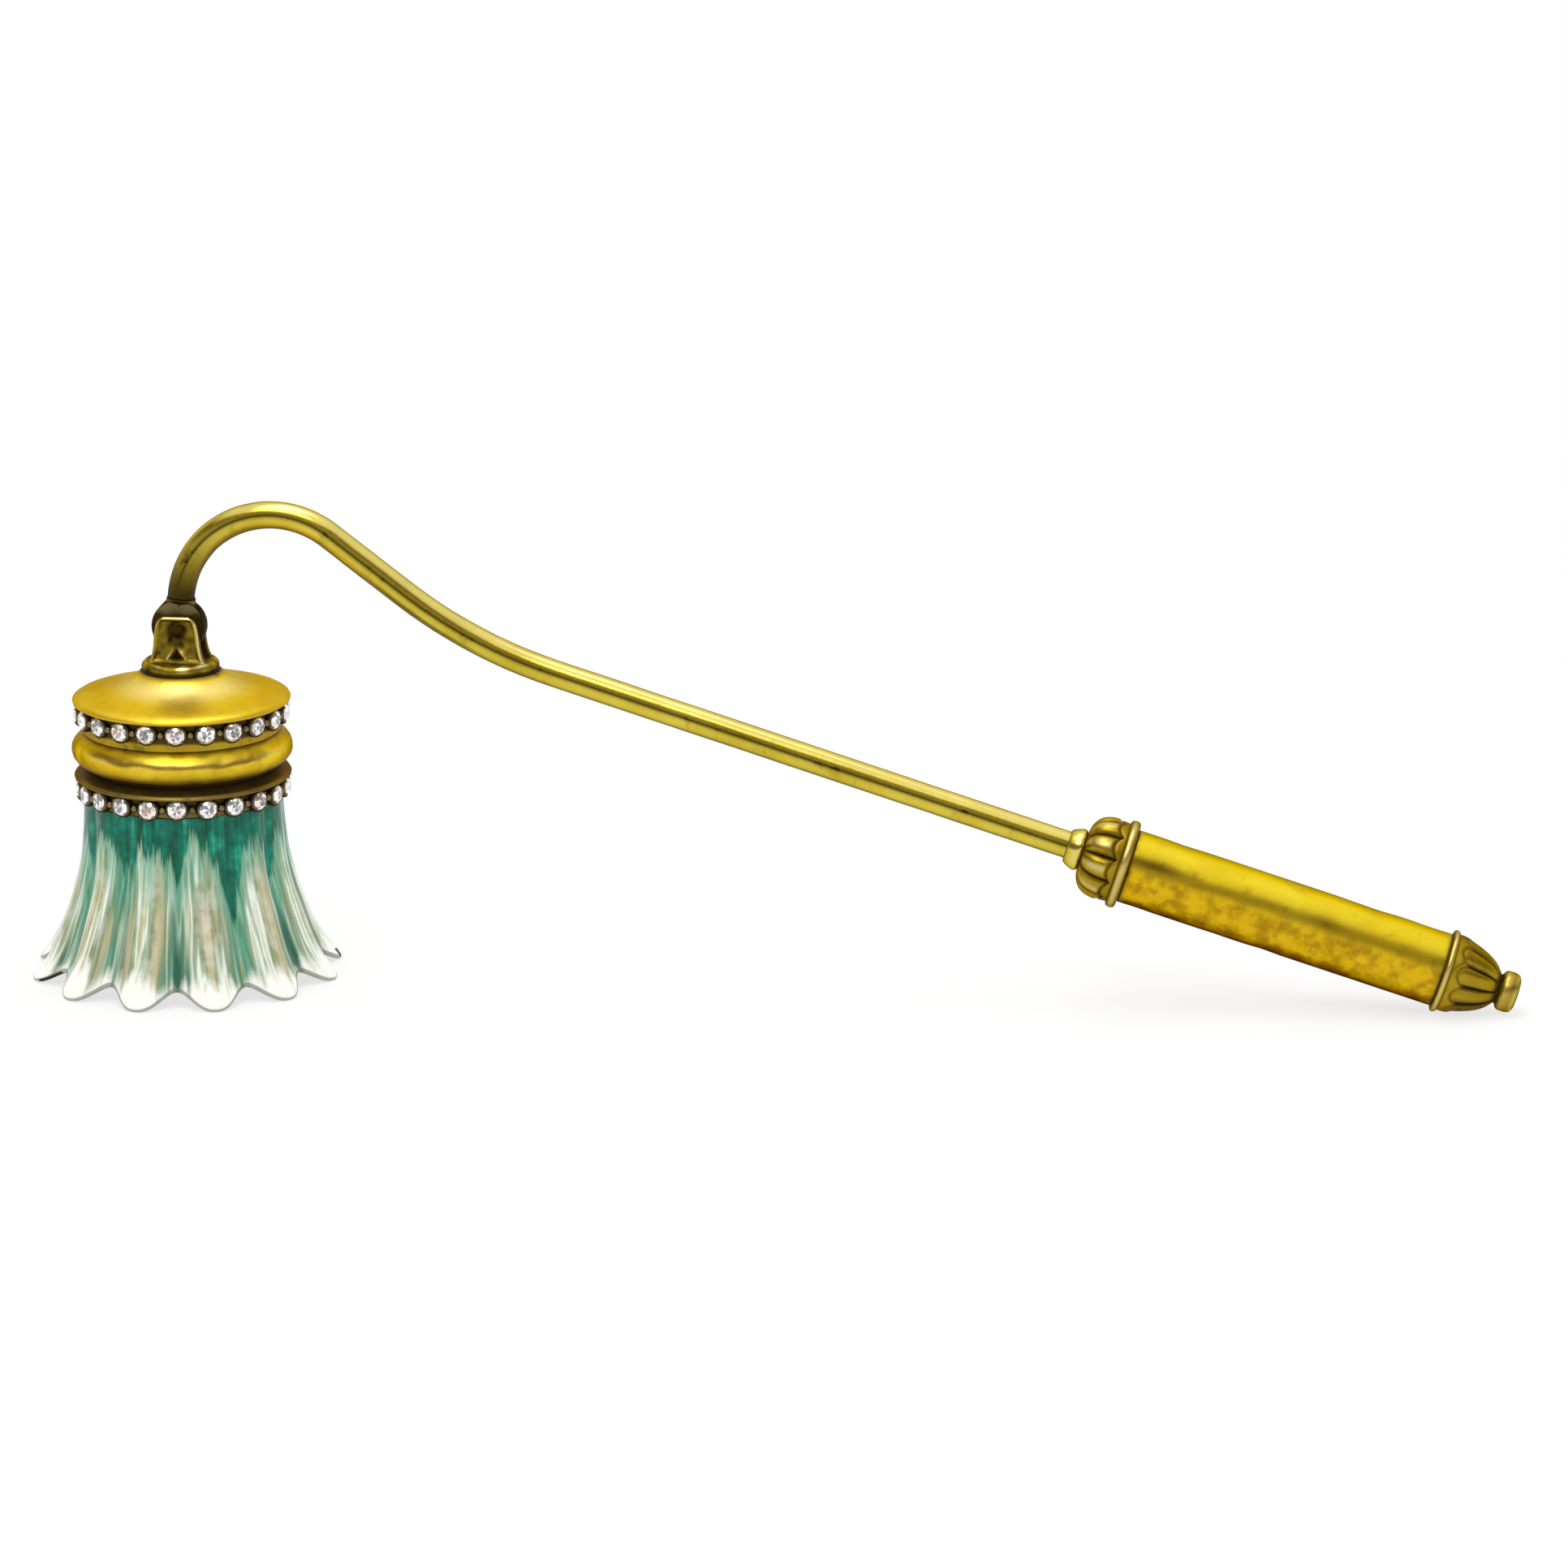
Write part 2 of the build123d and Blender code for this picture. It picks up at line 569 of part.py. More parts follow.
# Finial knob: screwed on the rod's tail, it clamps the handle's pieces to the nub
with BuildPart() as finial_knob:
    with BuildSketch(along_handle(knob_start)):
        Circle(KNOB_RADIUS)
    extrude(amount=KNOB_WIDTH)
    knob_edges = finial_knob.edges().filter_by(GeomType.CIRCLE).group_by(SortBy.RADIUS)[-1]
    chamfer(knob_edges.sort_by(handle_axis)[-1], KNOB_BEVEL)
    with BuildSketch(along_handle(knob_start)):
        Circle(ROD_TAIL_RADIUS)
    extrude(amount=ROD_TAIL_LENGTH, mode=Mode.SUBTRACT)
finial_knob.part.label = "finial_knob"
export_step(finial_knob.part, "parts/finial_knob.step")
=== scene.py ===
import json
from math import cos, exp, hypot, pi, radians, sin, tau

import bmesh
import bpy
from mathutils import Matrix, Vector, noise


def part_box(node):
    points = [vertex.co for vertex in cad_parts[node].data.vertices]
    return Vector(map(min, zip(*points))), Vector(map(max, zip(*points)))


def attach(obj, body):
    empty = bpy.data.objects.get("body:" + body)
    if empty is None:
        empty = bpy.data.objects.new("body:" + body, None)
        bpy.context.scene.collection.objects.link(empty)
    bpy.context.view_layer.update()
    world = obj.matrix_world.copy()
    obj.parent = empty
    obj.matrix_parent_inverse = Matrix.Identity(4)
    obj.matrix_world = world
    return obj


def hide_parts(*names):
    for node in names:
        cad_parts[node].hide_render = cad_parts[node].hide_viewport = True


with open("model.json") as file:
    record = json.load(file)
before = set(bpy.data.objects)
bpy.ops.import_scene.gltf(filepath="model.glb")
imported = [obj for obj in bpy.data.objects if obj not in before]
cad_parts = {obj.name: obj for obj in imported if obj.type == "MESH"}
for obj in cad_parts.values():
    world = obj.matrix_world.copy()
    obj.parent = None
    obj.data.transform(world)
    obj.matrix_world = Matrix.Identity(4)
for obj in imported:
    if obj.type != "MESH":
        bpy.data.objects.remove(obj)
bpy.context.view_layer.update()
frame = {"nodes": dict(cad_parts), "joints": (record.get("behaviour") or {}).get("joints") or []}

# Candle snuffer: what it looks like. Sizes are in millimetres and turned into metres by MM,
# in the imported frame: the bell stands on its mouth round +Z, the handle runs towards +X.
MM = 0.001

# Bell: the enamelled skirt
LOBES = 12
LOBE_TURN = 22.0
LOBE_COLUMNS = 22
SKIRT_ROWS = 46
SKIRT_TOP = 28.0
SKIRT_WALL = 1.2
LIP_WALL = 0.9
LIP_ROUND = 0.4
SCALLOP = 2.3
WEB_BOTTOM = 26.6
CROWN_EDGE = 14.6
STUD_HOLE = 1.6

# The skirt's ridge line from the lip up to the collar: height and radius
RIDGE_LINE = [
    (0.0, 24.15),
    (0.7, 23.75),
    (2.0, 22.8),
    (4.0, 21.4),
    (6.3, 20.1),
    (9.4, 18.75),
    (12.5, 17.6),
    (15.6, 16.7),
    (18.7, 16.0),
    (21.8, 15.6),
    (24.9, 15.35),
    (28.0, 15.2),
]

# Depth of the grooves between the lobes, up the skirt
GROOVE_LINE = [(0.0, 2.0), (3.0, 1.75), (8.0, 1.45), (16.0, 1.1), (22.0, 0.75), (28.0, 0.4)]

# How far the blue-green glaze has run down each groove, round from the first groove after a lobe
GLAZE_RUNS = [9.5, 11.5, 8.5, 14.0, 8.0, 11.0, 10.5, 9.0, 10.0, 17.5, 11.0, 8.5]

# Where the side lobes' tips are painted dark as shade: angle, half the width and the rows of the
# skirt
SHADED_LOBE_TIPS = [(22, 4.5, 3), (172, 3.5, 3), (210, 4.5, 1)]

# The skirt's tint where the metal is bare inside and where painted shade darkens the lip, in place
# of the glaze's run
BARE_AND_SHADE = -1

# Bell: the gold rings, with the bands that carry the stones, and the hinge's foot
COLLAR_TOP = 33.0
BAND_TOP = 38.3
DOME_TOP = 47.4
FOOT_TOP = 49.1
FOOT_RADIUS = 6.0
STUD_RADIUS = 1.5
STUD_END = 22.9
STONE_BAND = 15.1

# Stones: how many in a row, how high each row, then the radius and station of a stone's rings
# of corners, from its table to its foil
STONES = 22
STONE_HEIGHTS = {"lower": 29.47, "upper": 41.1}
STONE_TABLE = (0.78, 1.4)
STONE_CROWN = (1.12, 1.2)
STONE_GIRDLE = (1.4, 0.95)
STONE_BACK = (1.25, 0.34)

# Hinge
PIN_Z = frame["joints"][0]["pos_m"][2] / MM
PIN_RADIUS = 0.85
PIN_HEAD = 1.1
EAR_INNER = 1.65
EAR_OUTER = 3.15
EAR_TOP = 56.2
ARCH_TOP = 52.2
PANEL_DEPTH = 0.35
KNUCKLE_RADIUS = 4.1
KNUCKLE_HALF = 1.5

# Half the width of an ear, up from its foot
EAR_LINE = [
    (49.0, 4.3),
    (50.0, 3.85),
    (51.5, 3.55),
    (53.5, 3.35),
    (54.9, 3.1),
    (55.7, 2.7),
    (56.2, 1.9),
]

# Stem: the neck leans back, the crook turns over and falls, and the reverse bend levels out
NECK_LEAN = 4.87
NECK_REACH = 4.5
ROD_RADIUS = 2.07
CROOK_RADIUS = 14.2
CROOK_FALL = 37.4
CROOK_RUN = 14.2
REVERSE_RADIUS = 73.5
TILT = 17.4

# The stem's brown foot: all brown up to one height, faded out at the other, behind this x
BROWN_FOOT = 58.5
BROWN_END = 73.0
BROWN_REACH = 12.0

# Handle: stations along its axis from the front of the tube
TUBE_RADIUS = 5.64
TUBE_LENGTH = 49.6
TUBE_WALL = 0.8
FRONT_RIM = 1.5
FRONT_RIM_RADIUS = 6.83
REAR_RIM = 1.0
REAR_RIM_RADIUS = 6.42
FRONT_CAP = 5.6
REAR_CAP = 7.6
CAP_BORE = ROD_RADIUS + 0.05
CAP_SPIGOT = TUBE_RADIUS - 0.85
NUB = 2.5
NUB_RADIUS = 3.25
KNOB = 3.35
KNOB_RADIUS = 3.1
PETALS = 10
REAR_START = TUBE_LENGTH + REAR_RIM
KNOB_START = REAR_START + REAR_CAP

# The caps' outlines before their petals are cut: way out from the rim, and radius
FRONT_CAP_LINE = [
    (0.0, 6.12),
    (0.8, 6.2),
    (1.8, 6.22),
    (2.8, 6.12),
    (3.7, 5.85),
    (4.5, 5.35),
    (5.1, 4.6),
    (5.45, 3.8),
    (5.6, 3.1),
]
REAR_CAP_LINE = [
    (0.0, 5.95),
    (1.2, 5.88),
    (2.6, 5.5),
    (4.0, 5.02),
    (5.2, 4.5),
    (6.2, 3.9),
    (7.0, 3.2),
    (7.6, 2.5),
]

# Studio, in metres: the photograph's camera, and for each lamp its place, where it points,
# its width and depth, and its power
CAMERA_PLACE = (0.20004, -0.93797, 0.29052)
CAMERA_TURN = (74.7, 0, 6.563)
CAMERA_LENS = 149.07
CAMERA_FILM = 36.0
LAMPS = (
    ("top_box", (0.03, 0.02, 0.85), (0.06, 0.0, 0.02), 0.6, 0.35, 2.2),
    ("front_box", (-0.05, -0.62, 0.95), (0.05, 0.0, 0.03), 0.7, 0.35, 2.6),
)
ROOM_LIGHT = 1.1
FLOOR_HALF = 4.0
WHITE = (1.0, 1.0, 1.0, 1.0)
OFF_WHITE = (0.9, 0.9, 0.9, 1.0)
WARM_SHADE = (0.17, 0.13, 0.09, 1.0)


def ease(low, high, value):
    """A soft step from 0 at low to 1 at high."""
    share = min(max((value - low) / (high - low), 0), 1)
    return share * share * (3 - 2 * share)


def ripple(value, middle, width):
    """A soft bump of height 1 round a middle value."""
    return exp(-(((value - middle) / width) ** 2))


def on_line(line, place):
    """A smooth curve through pairs of place and value, read at a place."""
    last = len(line) - 1
    if place <= line[0][0]:
        return line[0][1]
    if place >= line[last][0]:
        return line[last][1]
    spot = next(k for k in range(last) if line[k + 1][0] >= place)
    span = line[spot + 1][0] - line[spot][0]
    slopes = []
    for k in (spot, spot + 1):
        before, after = line[max(k - 1, 0)], line[min(k + 1, last)]
        slopes.append((after[1] - before[1]) / (after[0] - before[0]) * span)
    t = (place - line[spot][0]) / span
    start = line[spot][1] * (2 * t**3 - 3 * t**2 + 1) + slopes[0] * (t**3 - 2 * t**2 + t)
    end = line[spot + 1][1] * (3 * t**2 - 2 * t**3) + slopes[1] * (t**3 - t**2)
    return start + end


def hand(point, size, amount):
    """An uneven touch of the hand: a small number from a place, the same each time."""
    return amount * noise.noise(Vector(point) / size)


def middle_of(node):
    """The middle of a node's box, in millimetres."""
    low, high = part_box(node)
    return (Vector(low) + Vector(high)) / (2 * MM)


class Stand:
    """An axis to turn pieces on: a point from its radius, its station and its angle."""

    def __init__(self, origin, axis, side):
        self.origin = Vector(origin)
        self.axis = Vector(axis).normalized()
        self.side = Vector(side).normalized()
        self.up = self.axis.cross(self.side)

    def at(self, radius, station, angle):
        across = self.side * cos(angle) + self.up * sin(angle)
        return self.origin + self.axis * station + across * radius


class Work:
    """A piece in the making: points in millimetres, their depth and tint, and the faces.

    Depth is above 0 in the hollows and where shade or a dark reflection is painted, and below 0
    where the metal is rubbed bright or a highlight is painted. Tint is the glaze's run on the
    skirt,
    -1 for bare metal and painted shade there, the painted reflection on a stone's facet, and on
    gold the amber tarnish, above 1 where painted shade browns the tube's underside.
    """

    def __init__(self):
        self.points, self.depths, self.tints, self.faces = [], [], [], []

    def add(self, point, depth, tint):
        """One point, with its depth and its tint."""
        self.points.append(Vector(point))
        self.depths.append(depth)
        self.tints.append(tint)

    def rows(self, rows, ends_meet=False, sides_meet=True):
        """Faces between rows of (point, depth, tint), each row as long as the next."""
        first, wide = len(self.points), len(rows[0])
        for row in rows:
            for point, depth, tint in row:
                self.add(point, depth, tint)
        for strip in range(len(rows) if ends_meet else len(rows) - 1):
            below, above = first + strip * wide, first + (strip + 1) % len(rows) * wide
            for place in range(wide if sides_meet else wide - 1):
                after = (place + 1) % wide
                self.faces.append((below + place, below + after, above + after, above + place))

    def turned(self, stand, outline, sides, shape=None, ends_meet=True, tarnish_and_shade=None):
        """Turn an outline of (radius, station, depth) on a stand; shape may alter it by angle."""
        rows = []
        for corner in outline:
            row = []
            for place in range(sides):
                angle = tau * place / sides
                radius, station, depth = shape(*corner, angle) if shape else corner
                tint = tarnish_and_shade(angle) if tarnish_and_shade else 0
                row.append((stand.at(radius, station, angle), depth, tint))
            rows.append(row)
        self.rows(rows, ends_meet)

    def facet(self, corners, tint):
        """One flat face of its own, with one tint."""
        first = len(self.points)
        for corner in corners:
            self.add(corner, 0, tint)
        self.faces.append(tuple(range(first, first + len(corners))))

    def bead(self, stand, radius, station, angle, size, depth):
        """A small round bead, set on a stand at a radius, a station and an angle."""
        seat = Stand(stand.at(radius, station, angle), stand.axis, stand.side)
        outline = [(size * sin(pi * k / 5), -size * cos(pi * k / 5), depth) for k in range(6)]
        self.turned(seat, outline, 8, ends_meet=False)

    def piece(self, name, body, slot, node, material, crease=38, weld=True):
        """The finished piece in the scene, riding on its body in place of its node."""
        mesh = bpy.data.meshes.new(name)
        mesh.from_pydata([point * MM for point in self.points], [], self.faces)
        for label, values in (("depth", self.depths), ("tint", self.tints)):
            mesh.attributes.new(label, "FLOAT", "POINT").data.foreach_set("value", values)
        made = bmesh.new()
        made.from_mesh(mesh)
        if weld:
            bmesh.ops.remove_doubles(made, verts=made.verts, dist=0.002 * MM)
            bmesh.ops.dissolve_degenerate(made, edges=made.edges, dist=0.001 * MM)
        bmesh.ops.recalc_face_normals(made, faces=made.faces)
        made.to_mesh(mesh)
        made.free()
        mesh.shade_smooth()
        mesh.set_sharp_from_angle(angle=radians(crease))
        mesh.materials.append(material)
        piece = bpy.data.objects.new(name, mesh)
        bpy.context.scene.collection.objects.link(piece)
        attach(piece, body)
        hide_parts(node)


# Stands: the bell's own axis, the hinge pin, the stem's neck, and the handle from nub to knob
bell_stand = Stand((0, 0, 0), (0, 0, 1), (1, 0, 0))
pin_stand = Stand((0, 0, PIN_Z), (0, 1, 0), (1, 0, 0))
neck_way = Vector((sin(radians(NECK_LEAN)), 0, cos(radians(NECK_LEAN))))
neck_stand = Stand((0, 0, PIN_Z), neck_way, (0, 1, 0))
nub_middle = middle_of("front_nub")
handle_way = (middle_of("finial_knob") - nub_middle).normalized()
tube_start = nub_middle + handle_way * (FRONT_RIM + FRONT_CAP + NUB / 2)
handle_stand = Stand(tube_start, handle_way, (0, 1, 0))


class Flow:
    """A value that varies over a finish, on which sums can be written."""

    def __init__(self, shader, socket):
        self.shader = shader
        self.socket = socket

    def maths(self, operation, *values):
        return self.shader.node("Math", {"operation": operation}, dict(enumerate(values)))

    def __add__(self, other):
        return self.maths("ADD", self, other)

    __radd__ = __add__

    def __sub__(self, other):
        return self.maths("SUBTRACT", self, other)

    def __rsub__(self, other):
        return self.maths("SUBTRACT", other, self)

    def __mul__(self, other):
        return self.maths("MULTIPLY", self, other)

    __rmul__ = __mul__

    def __truediv__(self, other):
        return self.maths("DIVIDE", self, other)

    def __rtruediv__(self, other):
        return self.maths("DIVIDE", other, self)

    def __pow__(self, other):
        return self.maths("POWER", self, other)

    def __rpow__(self, other):
        return self.maths("POWER", other, self)

    def least(self, other):
        return self.maths("MINIMUM", self, other)

    def most(self, other):
        return self.maths("MAXIMUM", self, other)

    def step(self, low, high):
        """A soft step from 0 at low to 1 at high."""
        settings = {"interpolation_type": "SMOOTHSTEP"}
        return self.shader.node("MapRange", settings, {0: self, 1: low, 2: high})


class Shader:
    """A tree of shader nodes, with one way to add any of them."""

    def __init__(self, tree):
        self.tree = tree
        self.tree.nodes.clear()

    def node(self, kind, settings=None, values=None, output=0):
        made = self.tree.nodes.new("ShaderNode" + kind)
        for key, value in (settings or {}).items():
            if key == "stops":
                ramp = made.color_ramp
                while len(ramp.elements) < len(value):
                    ramp.elements.new(0.5)
                for element, (place, colour) in zip(ramp.elements, value):
                    element.position, element.color = place, colour
            else:
                setattr(made, key, value)
        for key, value in (values or {}).items():
            if isinstance(value, Flow):
                self.tree.links.new(value.socket, made.inputs[key])
            else:
                made.inputs[key].default_value = value
        return Flow(self, made.outputs[output]) if made.outputs else None

    def mix(self, share, first, second):
        """From the first colour to the second by a share."""
        settings = {"data_type": "RGBA", "blend_type": "MIX"}
        return self.node("Mix", settings, {0: share, 6: first, 7: second}, 2)

    def ramp(self, share, stops):
        """A colour from a row of stops."""
        return self.node("ValToRGB", {"stops": stops}, {0: share})


class Finish(Shader):
    """A material in the making."""

    def __init__(self, name):
        self.material = bpy.data.materials.new(name)
        self.material.use_nodes = True
        super().__init__(self.material.node_tree)

    def place(self):
        """Where a point lies on the piece, in millimetres."""
        spot = self.node("TexCoord", output="Object")
        return self.node("VectorMath", {"operation": "SCALE"}, {0: spot, "Scale": 1 / MM})

    def mark(self, name):
        """A value that the piece's mesh carries."""
        return self.node("Attribute", {"attribute_name": name}, output="Fac")

    def cloud(self, place, size, detail=3.0, rough=0.55):
        """Uneven patches of about one size in millimetres, from 0 to 1."""
        finer = (1 / size,) * 3
        scaled = self.node("VectorMath", {"operation": "MULTIPLY"}, {0: place, 1: finer})
        values = {"Vector": scaled, "Scale": 1.0, "Detail": detail, "Roughness": rough}
        return self.node("TexNoise", None, values)

    def bump(self, height, depth):
        """A fine relief, with its depth in millimetres."""
        values = {"Height": height, "Distance": depth * MM, "Strength": 1.0}
        return self.node("Bump", None, values)

    def gloss(self, values):
        """The glossy shader with its values, on the material's output."""
        shader = self.node("BsdfPrincipled", None, values)
        self.node("OutputMaterial", None, {"Surface": shader})
        return self.material


def paint(red, green, blue):
    """A colour as a painter names it, from 0 to 255, in the shader's own measure."""
    shares = [part / 255 for part in (red, green, blue)]
    linear = [s / 12.92 if s <= 0.04045 else ((s + 0.055) / 1.055) ** 2.4 for s in shares]
    return (*linear, 1.0)


def gilding(name, bright, deep, stain, stained, polish, hammered):
    """Antique gold plate: bright on the rubbed edges and painted highlights, deep in the body,
    brown in the hollows and the painted shade.
    """
    finish = Finish(name)
    place, depth, tarnish_and_shade = finish.place(), finish.mark("depth"), finish.mark("tint")
    drift = finish.cloud(place, 8.0, 2.0)
    patches = finish.cloud(place, 2.6, 4.0)
    grain = finish.cloud(place, 0.6, 2.0)
    # Depth above 0 browns the hollows and the painted shade; below 0 it pales the rubbed edges and
    # the painted highlights.
    hollow = depth.most(0.0)
    rubbed = (depth * -1.0).most(0.0)
    spots = patches.step(0.55, 0.74) * stained
    brown = (hollow + spots + grain.step(0.58, 0.85) * 0.2 * stained).least(1.0)
    brown = (brown - rubbed * 0.6).most(0.0)
    drifted = (drift * 1.6 + grain * 0.5 - 0.55).least(1.0).most(0.0)
    body = finish.mix(drifted, paint(*deep), paint(*bright))
    amber = finish.mix(patches.step(0.38, 0.62), paint(216, 172, 20), paint(160, 116, 12))
    # Tint above 1 takes the stain: painted shade on the tube's underside.
    body = finish.mix((tarnish_and_shade * (0.95 - grain * 0.3)).least(1.0), body, amber)
    body = finish.mix((tarnish_and_shade - 1.0).most(0.0), body, paint(*stain))
    body = finish.mix(rubbed, body, paint(252, 238, 170))
    colour = finish.mix(brown, body, paint(*stain))
    relief = patches * hammered * 2.0 + grain * hammered * 0.1
    return finish.gloss(
        {
            "Base Color": colour,
            "Metallic": 1.0 - brown * 0.6,
            "Specular Tint": paint(150, 130, 84),
            "Roughness": polish + brown * 0.28 + grain * 0.06 + tarnish_and_shade * 0.12,
            "Normal": finish.bump(relief, 1.0),
        }
    )


def enamelling():
    """Glaze over the cast skirt: blue-green at the neck, run down the grooves over pearly white."""
    finish = Finish("enamel_glaze")
    place, depth, run = finish.place(), finish.mark("depth"), finish.mark("tint")
    east, north, height = (finish.node("SeparateXYZ", None, {0: place}, part) for part in range(3))
    radius = (east * east + north * north) ** 0.5
    around = {0: east / radius, 1: north / radius, 2: height * 0.0035}
    strands = finish.node("CombineXYZ", None, around)
    band = finish.cloud(strands, 0.15, 1.0, 0.4)
    streak = finish.cloud(strands, 0.06, 1.0)
    hair = finish.cloud(strands, 0.022, 1.0)
    mottle = finish.cloud(place, 2.4, 3.0)
    fallen = SKIRT_TOP - height

    # Pearly white with olive, grey and rosy strands, paler on the ridges and at the mouth
    wander = band * 0.95 + streak * 0.4 + hair * 0.1 - 0.225
    on_ridges = finish.ramp(
        wander,
        [
            (0.33, paint(112, 116, 74)),
            (0.39, paint(170, 166, 112)),
            (0.45, paint(198, 206, 174)),
            (0.495, paint(240, 246, 236)),
            (0.53, paint(168, 186, 162)),
            (0.59, paint(134, 146, 108)),
            (0.65, paint(182, 178, 136)),
            (0.73, paint(204, 190, 162)),
        ],
    )
    in_grooves = finish.ramp(
        wander,
        [
            (0.34, paint(58, 104, 84)),
            (0.42, paint(104, 146, 124)),
            (0.475, paint(176, 204, 186)),
            (0.525, paint(112, 132, 86)),
            (0.58, paint(84, 150, 128)),
            (0.64, paint(170, 190, 170)),
            (0.71, paint(120, 134, 104)),
        ],
    )
    white = paint(252, 254, 246)
    groove = depth.step(0.25, 0.75)
    ridge = 1.0 - depth.step(0.0, 0.3)
    pearly = finish.mix(groove, on_ridges, in_grooves)
    pearly = finish.mix(ridge * mottle.step(0.38, 0.62) * 0.3, pearly, white)
    edge = mottle * 2.5 + streak * 7.0 + ridge * 1.0 - 2.2
    pearly = finish.mix((edge - height).step(-2.2, 1.0), pearly, white)

    # Blue-green glaze: thick above its ragged front, and a thin wash below it
    deep = finish.ramp(
        streak * 0.45 + mottle * 0.45 + hair * 0.1,
        [
            (0.34, paint(0, 62, 42)),
            (0.45, paint(0, 90, 68)),
            (0.55, paint(0, 114, 92)),
            (0.64, paint(22, 150, 122)),
            (0.72, paint(104, 188, 162)),
        ],
    )
    thin = finish.mix(hair.step(0.4, 0.6), paint(48, 146, 116), paint(128, 194, 166))
    front = run + band * 7.0 + streak * 9.0 + hair * 8.0 - 12.0
    glaze = 1.0 - (fallen - front).step(-1.3, 1.3)
    wash = 1.0 - (fallen - run * 1.15 - streak * 22.0 + 6.0).step(-4.0, 4.0)
    colour = finish.mix(wash * 0.66, pearly, thin)
    colour = finish.mix(glaze, colour, deep)

    # A grey line round the lip; dark bare metal inside, painted near-black as shade, and painted
    # shade on the lip's underside and the side lobes' tips
    rim_line = (depth - 1.0).step(0.35, 0.9)
    colour = finish.mix(rim_line * 0.7, colour, paint(122, 122, 112))
    bare_and_shade = 1.0 - (run + 1.0).step(0.0, 0.5)
    colour = finish.mix(bare_and_shade, colour, finish.mix(mottle, paint(20, 20, 18), paint(46, 44, 36)))
    relief = streak * 0.05 + hair * 0.015 + mottle * 0.03
    return finish.gloss(
        {
            "Base Color": colour,
            "Roughness": 0.16 + mottle * 0.1 + bare_and_shade * 0.3,
            "Normal": finish.bump(relief, 1.0),
            "Coat Weight": 0.15,
            "Coat Roughness": 0.06,
            "Specular IOR Level": 0.15,
        }
    )


def foiled_glass():
    """Clear cut stones on silver foil: each facet carries a painted reflection, light or dark, from
    its tint.
    """
    finish = Finish("clear_foiled_stone")
    sparkle, place = finish.mark("tint"), finish.place()
    haze = finish.cloud(place, 0.8, 2.0)
    colour = finish.ramp(
        sparkle + haze * 0.12 - 0.06,
        [
            (0.0, paint(70, 66, 64)),
            (0.3, paint(150, 146, 146)),
            (0.55, paint(222, 220, 222)),
            (1.0, paint(255, 255, 255)),
        ],
    )
    # Painted warm reflection of the gold on some stones.
    rosy = finish.cloud(place, 3.0, 1.0).step(0.5, 0.75) * 0.4
    colour = finish.mix(rosy, colour, paint(240, 196, 160))
    return finish.gloss(
        {
            "Base Color": colour,
            "Metallic": 0.75,
            "Roughness": 0.05 + haze * 0.06,
            "Normal": finish.bump(haze, 0.01),
            "Coat Weight": 1.0,
            "Coat Roughness": 0.01,
            "Coat IOR": 1.6,
        }
    )


# Metals: bright and deep tone, the stain in the hollows and in the painted shade, then how stained,
# how rough the polish and how deep the hammering
gold_dome = gilding("gilt_dome", (250, 216, 66), (222, 184, 48), (92, 70, 26), 0.3, 0.37, 0.03)
gold_band = gilding("gilt_band", (238, 206, 52), (200, 160, 22), (86, 62, 16), 0.25, 0.26, 0.02)
gold_dull = gilding("dull_collar", (152, 130, 68), (116, 96, 46), (48, 34, 16), 0.4, 0.34, 0.03)
gold_tube = gilding("gilt_tube", (238, 212, 50), (224, 190, 30), (84, 56, 2), 0.2, 0.17, 0.012)
gold_cap = gilding("gilt_cap", (186, 156, 40), (142, 114, 20), (48, 36, 6), 0.35, 0.33, 0.03)
gold_rod = gilding("gilt_stem", (220, 200, 76), (190, 168, 48), (44, 27, 0), 0.28, 0.17, 0.004)
gold_ear = gilding("gilt_clevis", (170, 146, 48), (118, 98, 18), (34, 22, 6), 0.4, 0.28, 0.05)
brass_cup = gilding("dark_brass_cups", (104, 90, 70), (66, 54, 42), (22, 18, 14), 0.5, 0.3, 0.05)
brass_black = gilding("dark_brass_hinge", (74, 58, 22), (44, 32, 10), (12, 8, 4), 0.5, 0.32, 0.04)
steel = gilding("plain_steel", (176, 176, 172), (140, 140, 136), (80, 74, 64), 0.3, 0.3, 0.02)
clear_stone = foiled_glass()


def lobe_phase(angle):
    """Where an angle lies across its lobe, from -1 in one groove over 0 on the ridge to 1."""
    turn = (angle - radians(LOBE_TURN)) / tau * LOBES
    return 2 * (turn - round(turn))


def groove_share(angle, height):
    """How far down into the groove the skirt lies, from 0 on the ridge to 1."""
    across = abs(lobe_phase(angle))
    creased = across**2.1
    waved = 0.5 - 0.5 * cos(pi * across)
    return creased + (waved - creased) * ease(12, 1, height)


def skirt_radius(angle, height):
    """The skirt's outer radius, which the hand leaves a little uneven below the collar."""
    share = groove_share(angle, height)
    ridge = on_line(RIDGE_LINE, height)
    spot = (3 * cos(angle), 3 * sin(angle), height / 9)
    uneven = hand(spot, 1.0, 0.22) * ease(28, 20, height)
    return ridge - on_line(GROOVE_LINE, height) * share + min(uneven, 0.02 * height)


def lip_height(angle):
    """How high the scalloped lip lies: lowest on the ridges, highest in the grooves."""
    across = abs(lobe_phase(angle))
    return SCALLOP * (0.5 - 0.5 * cos(pi * across)) ** 1.35 + LIP_ROUND


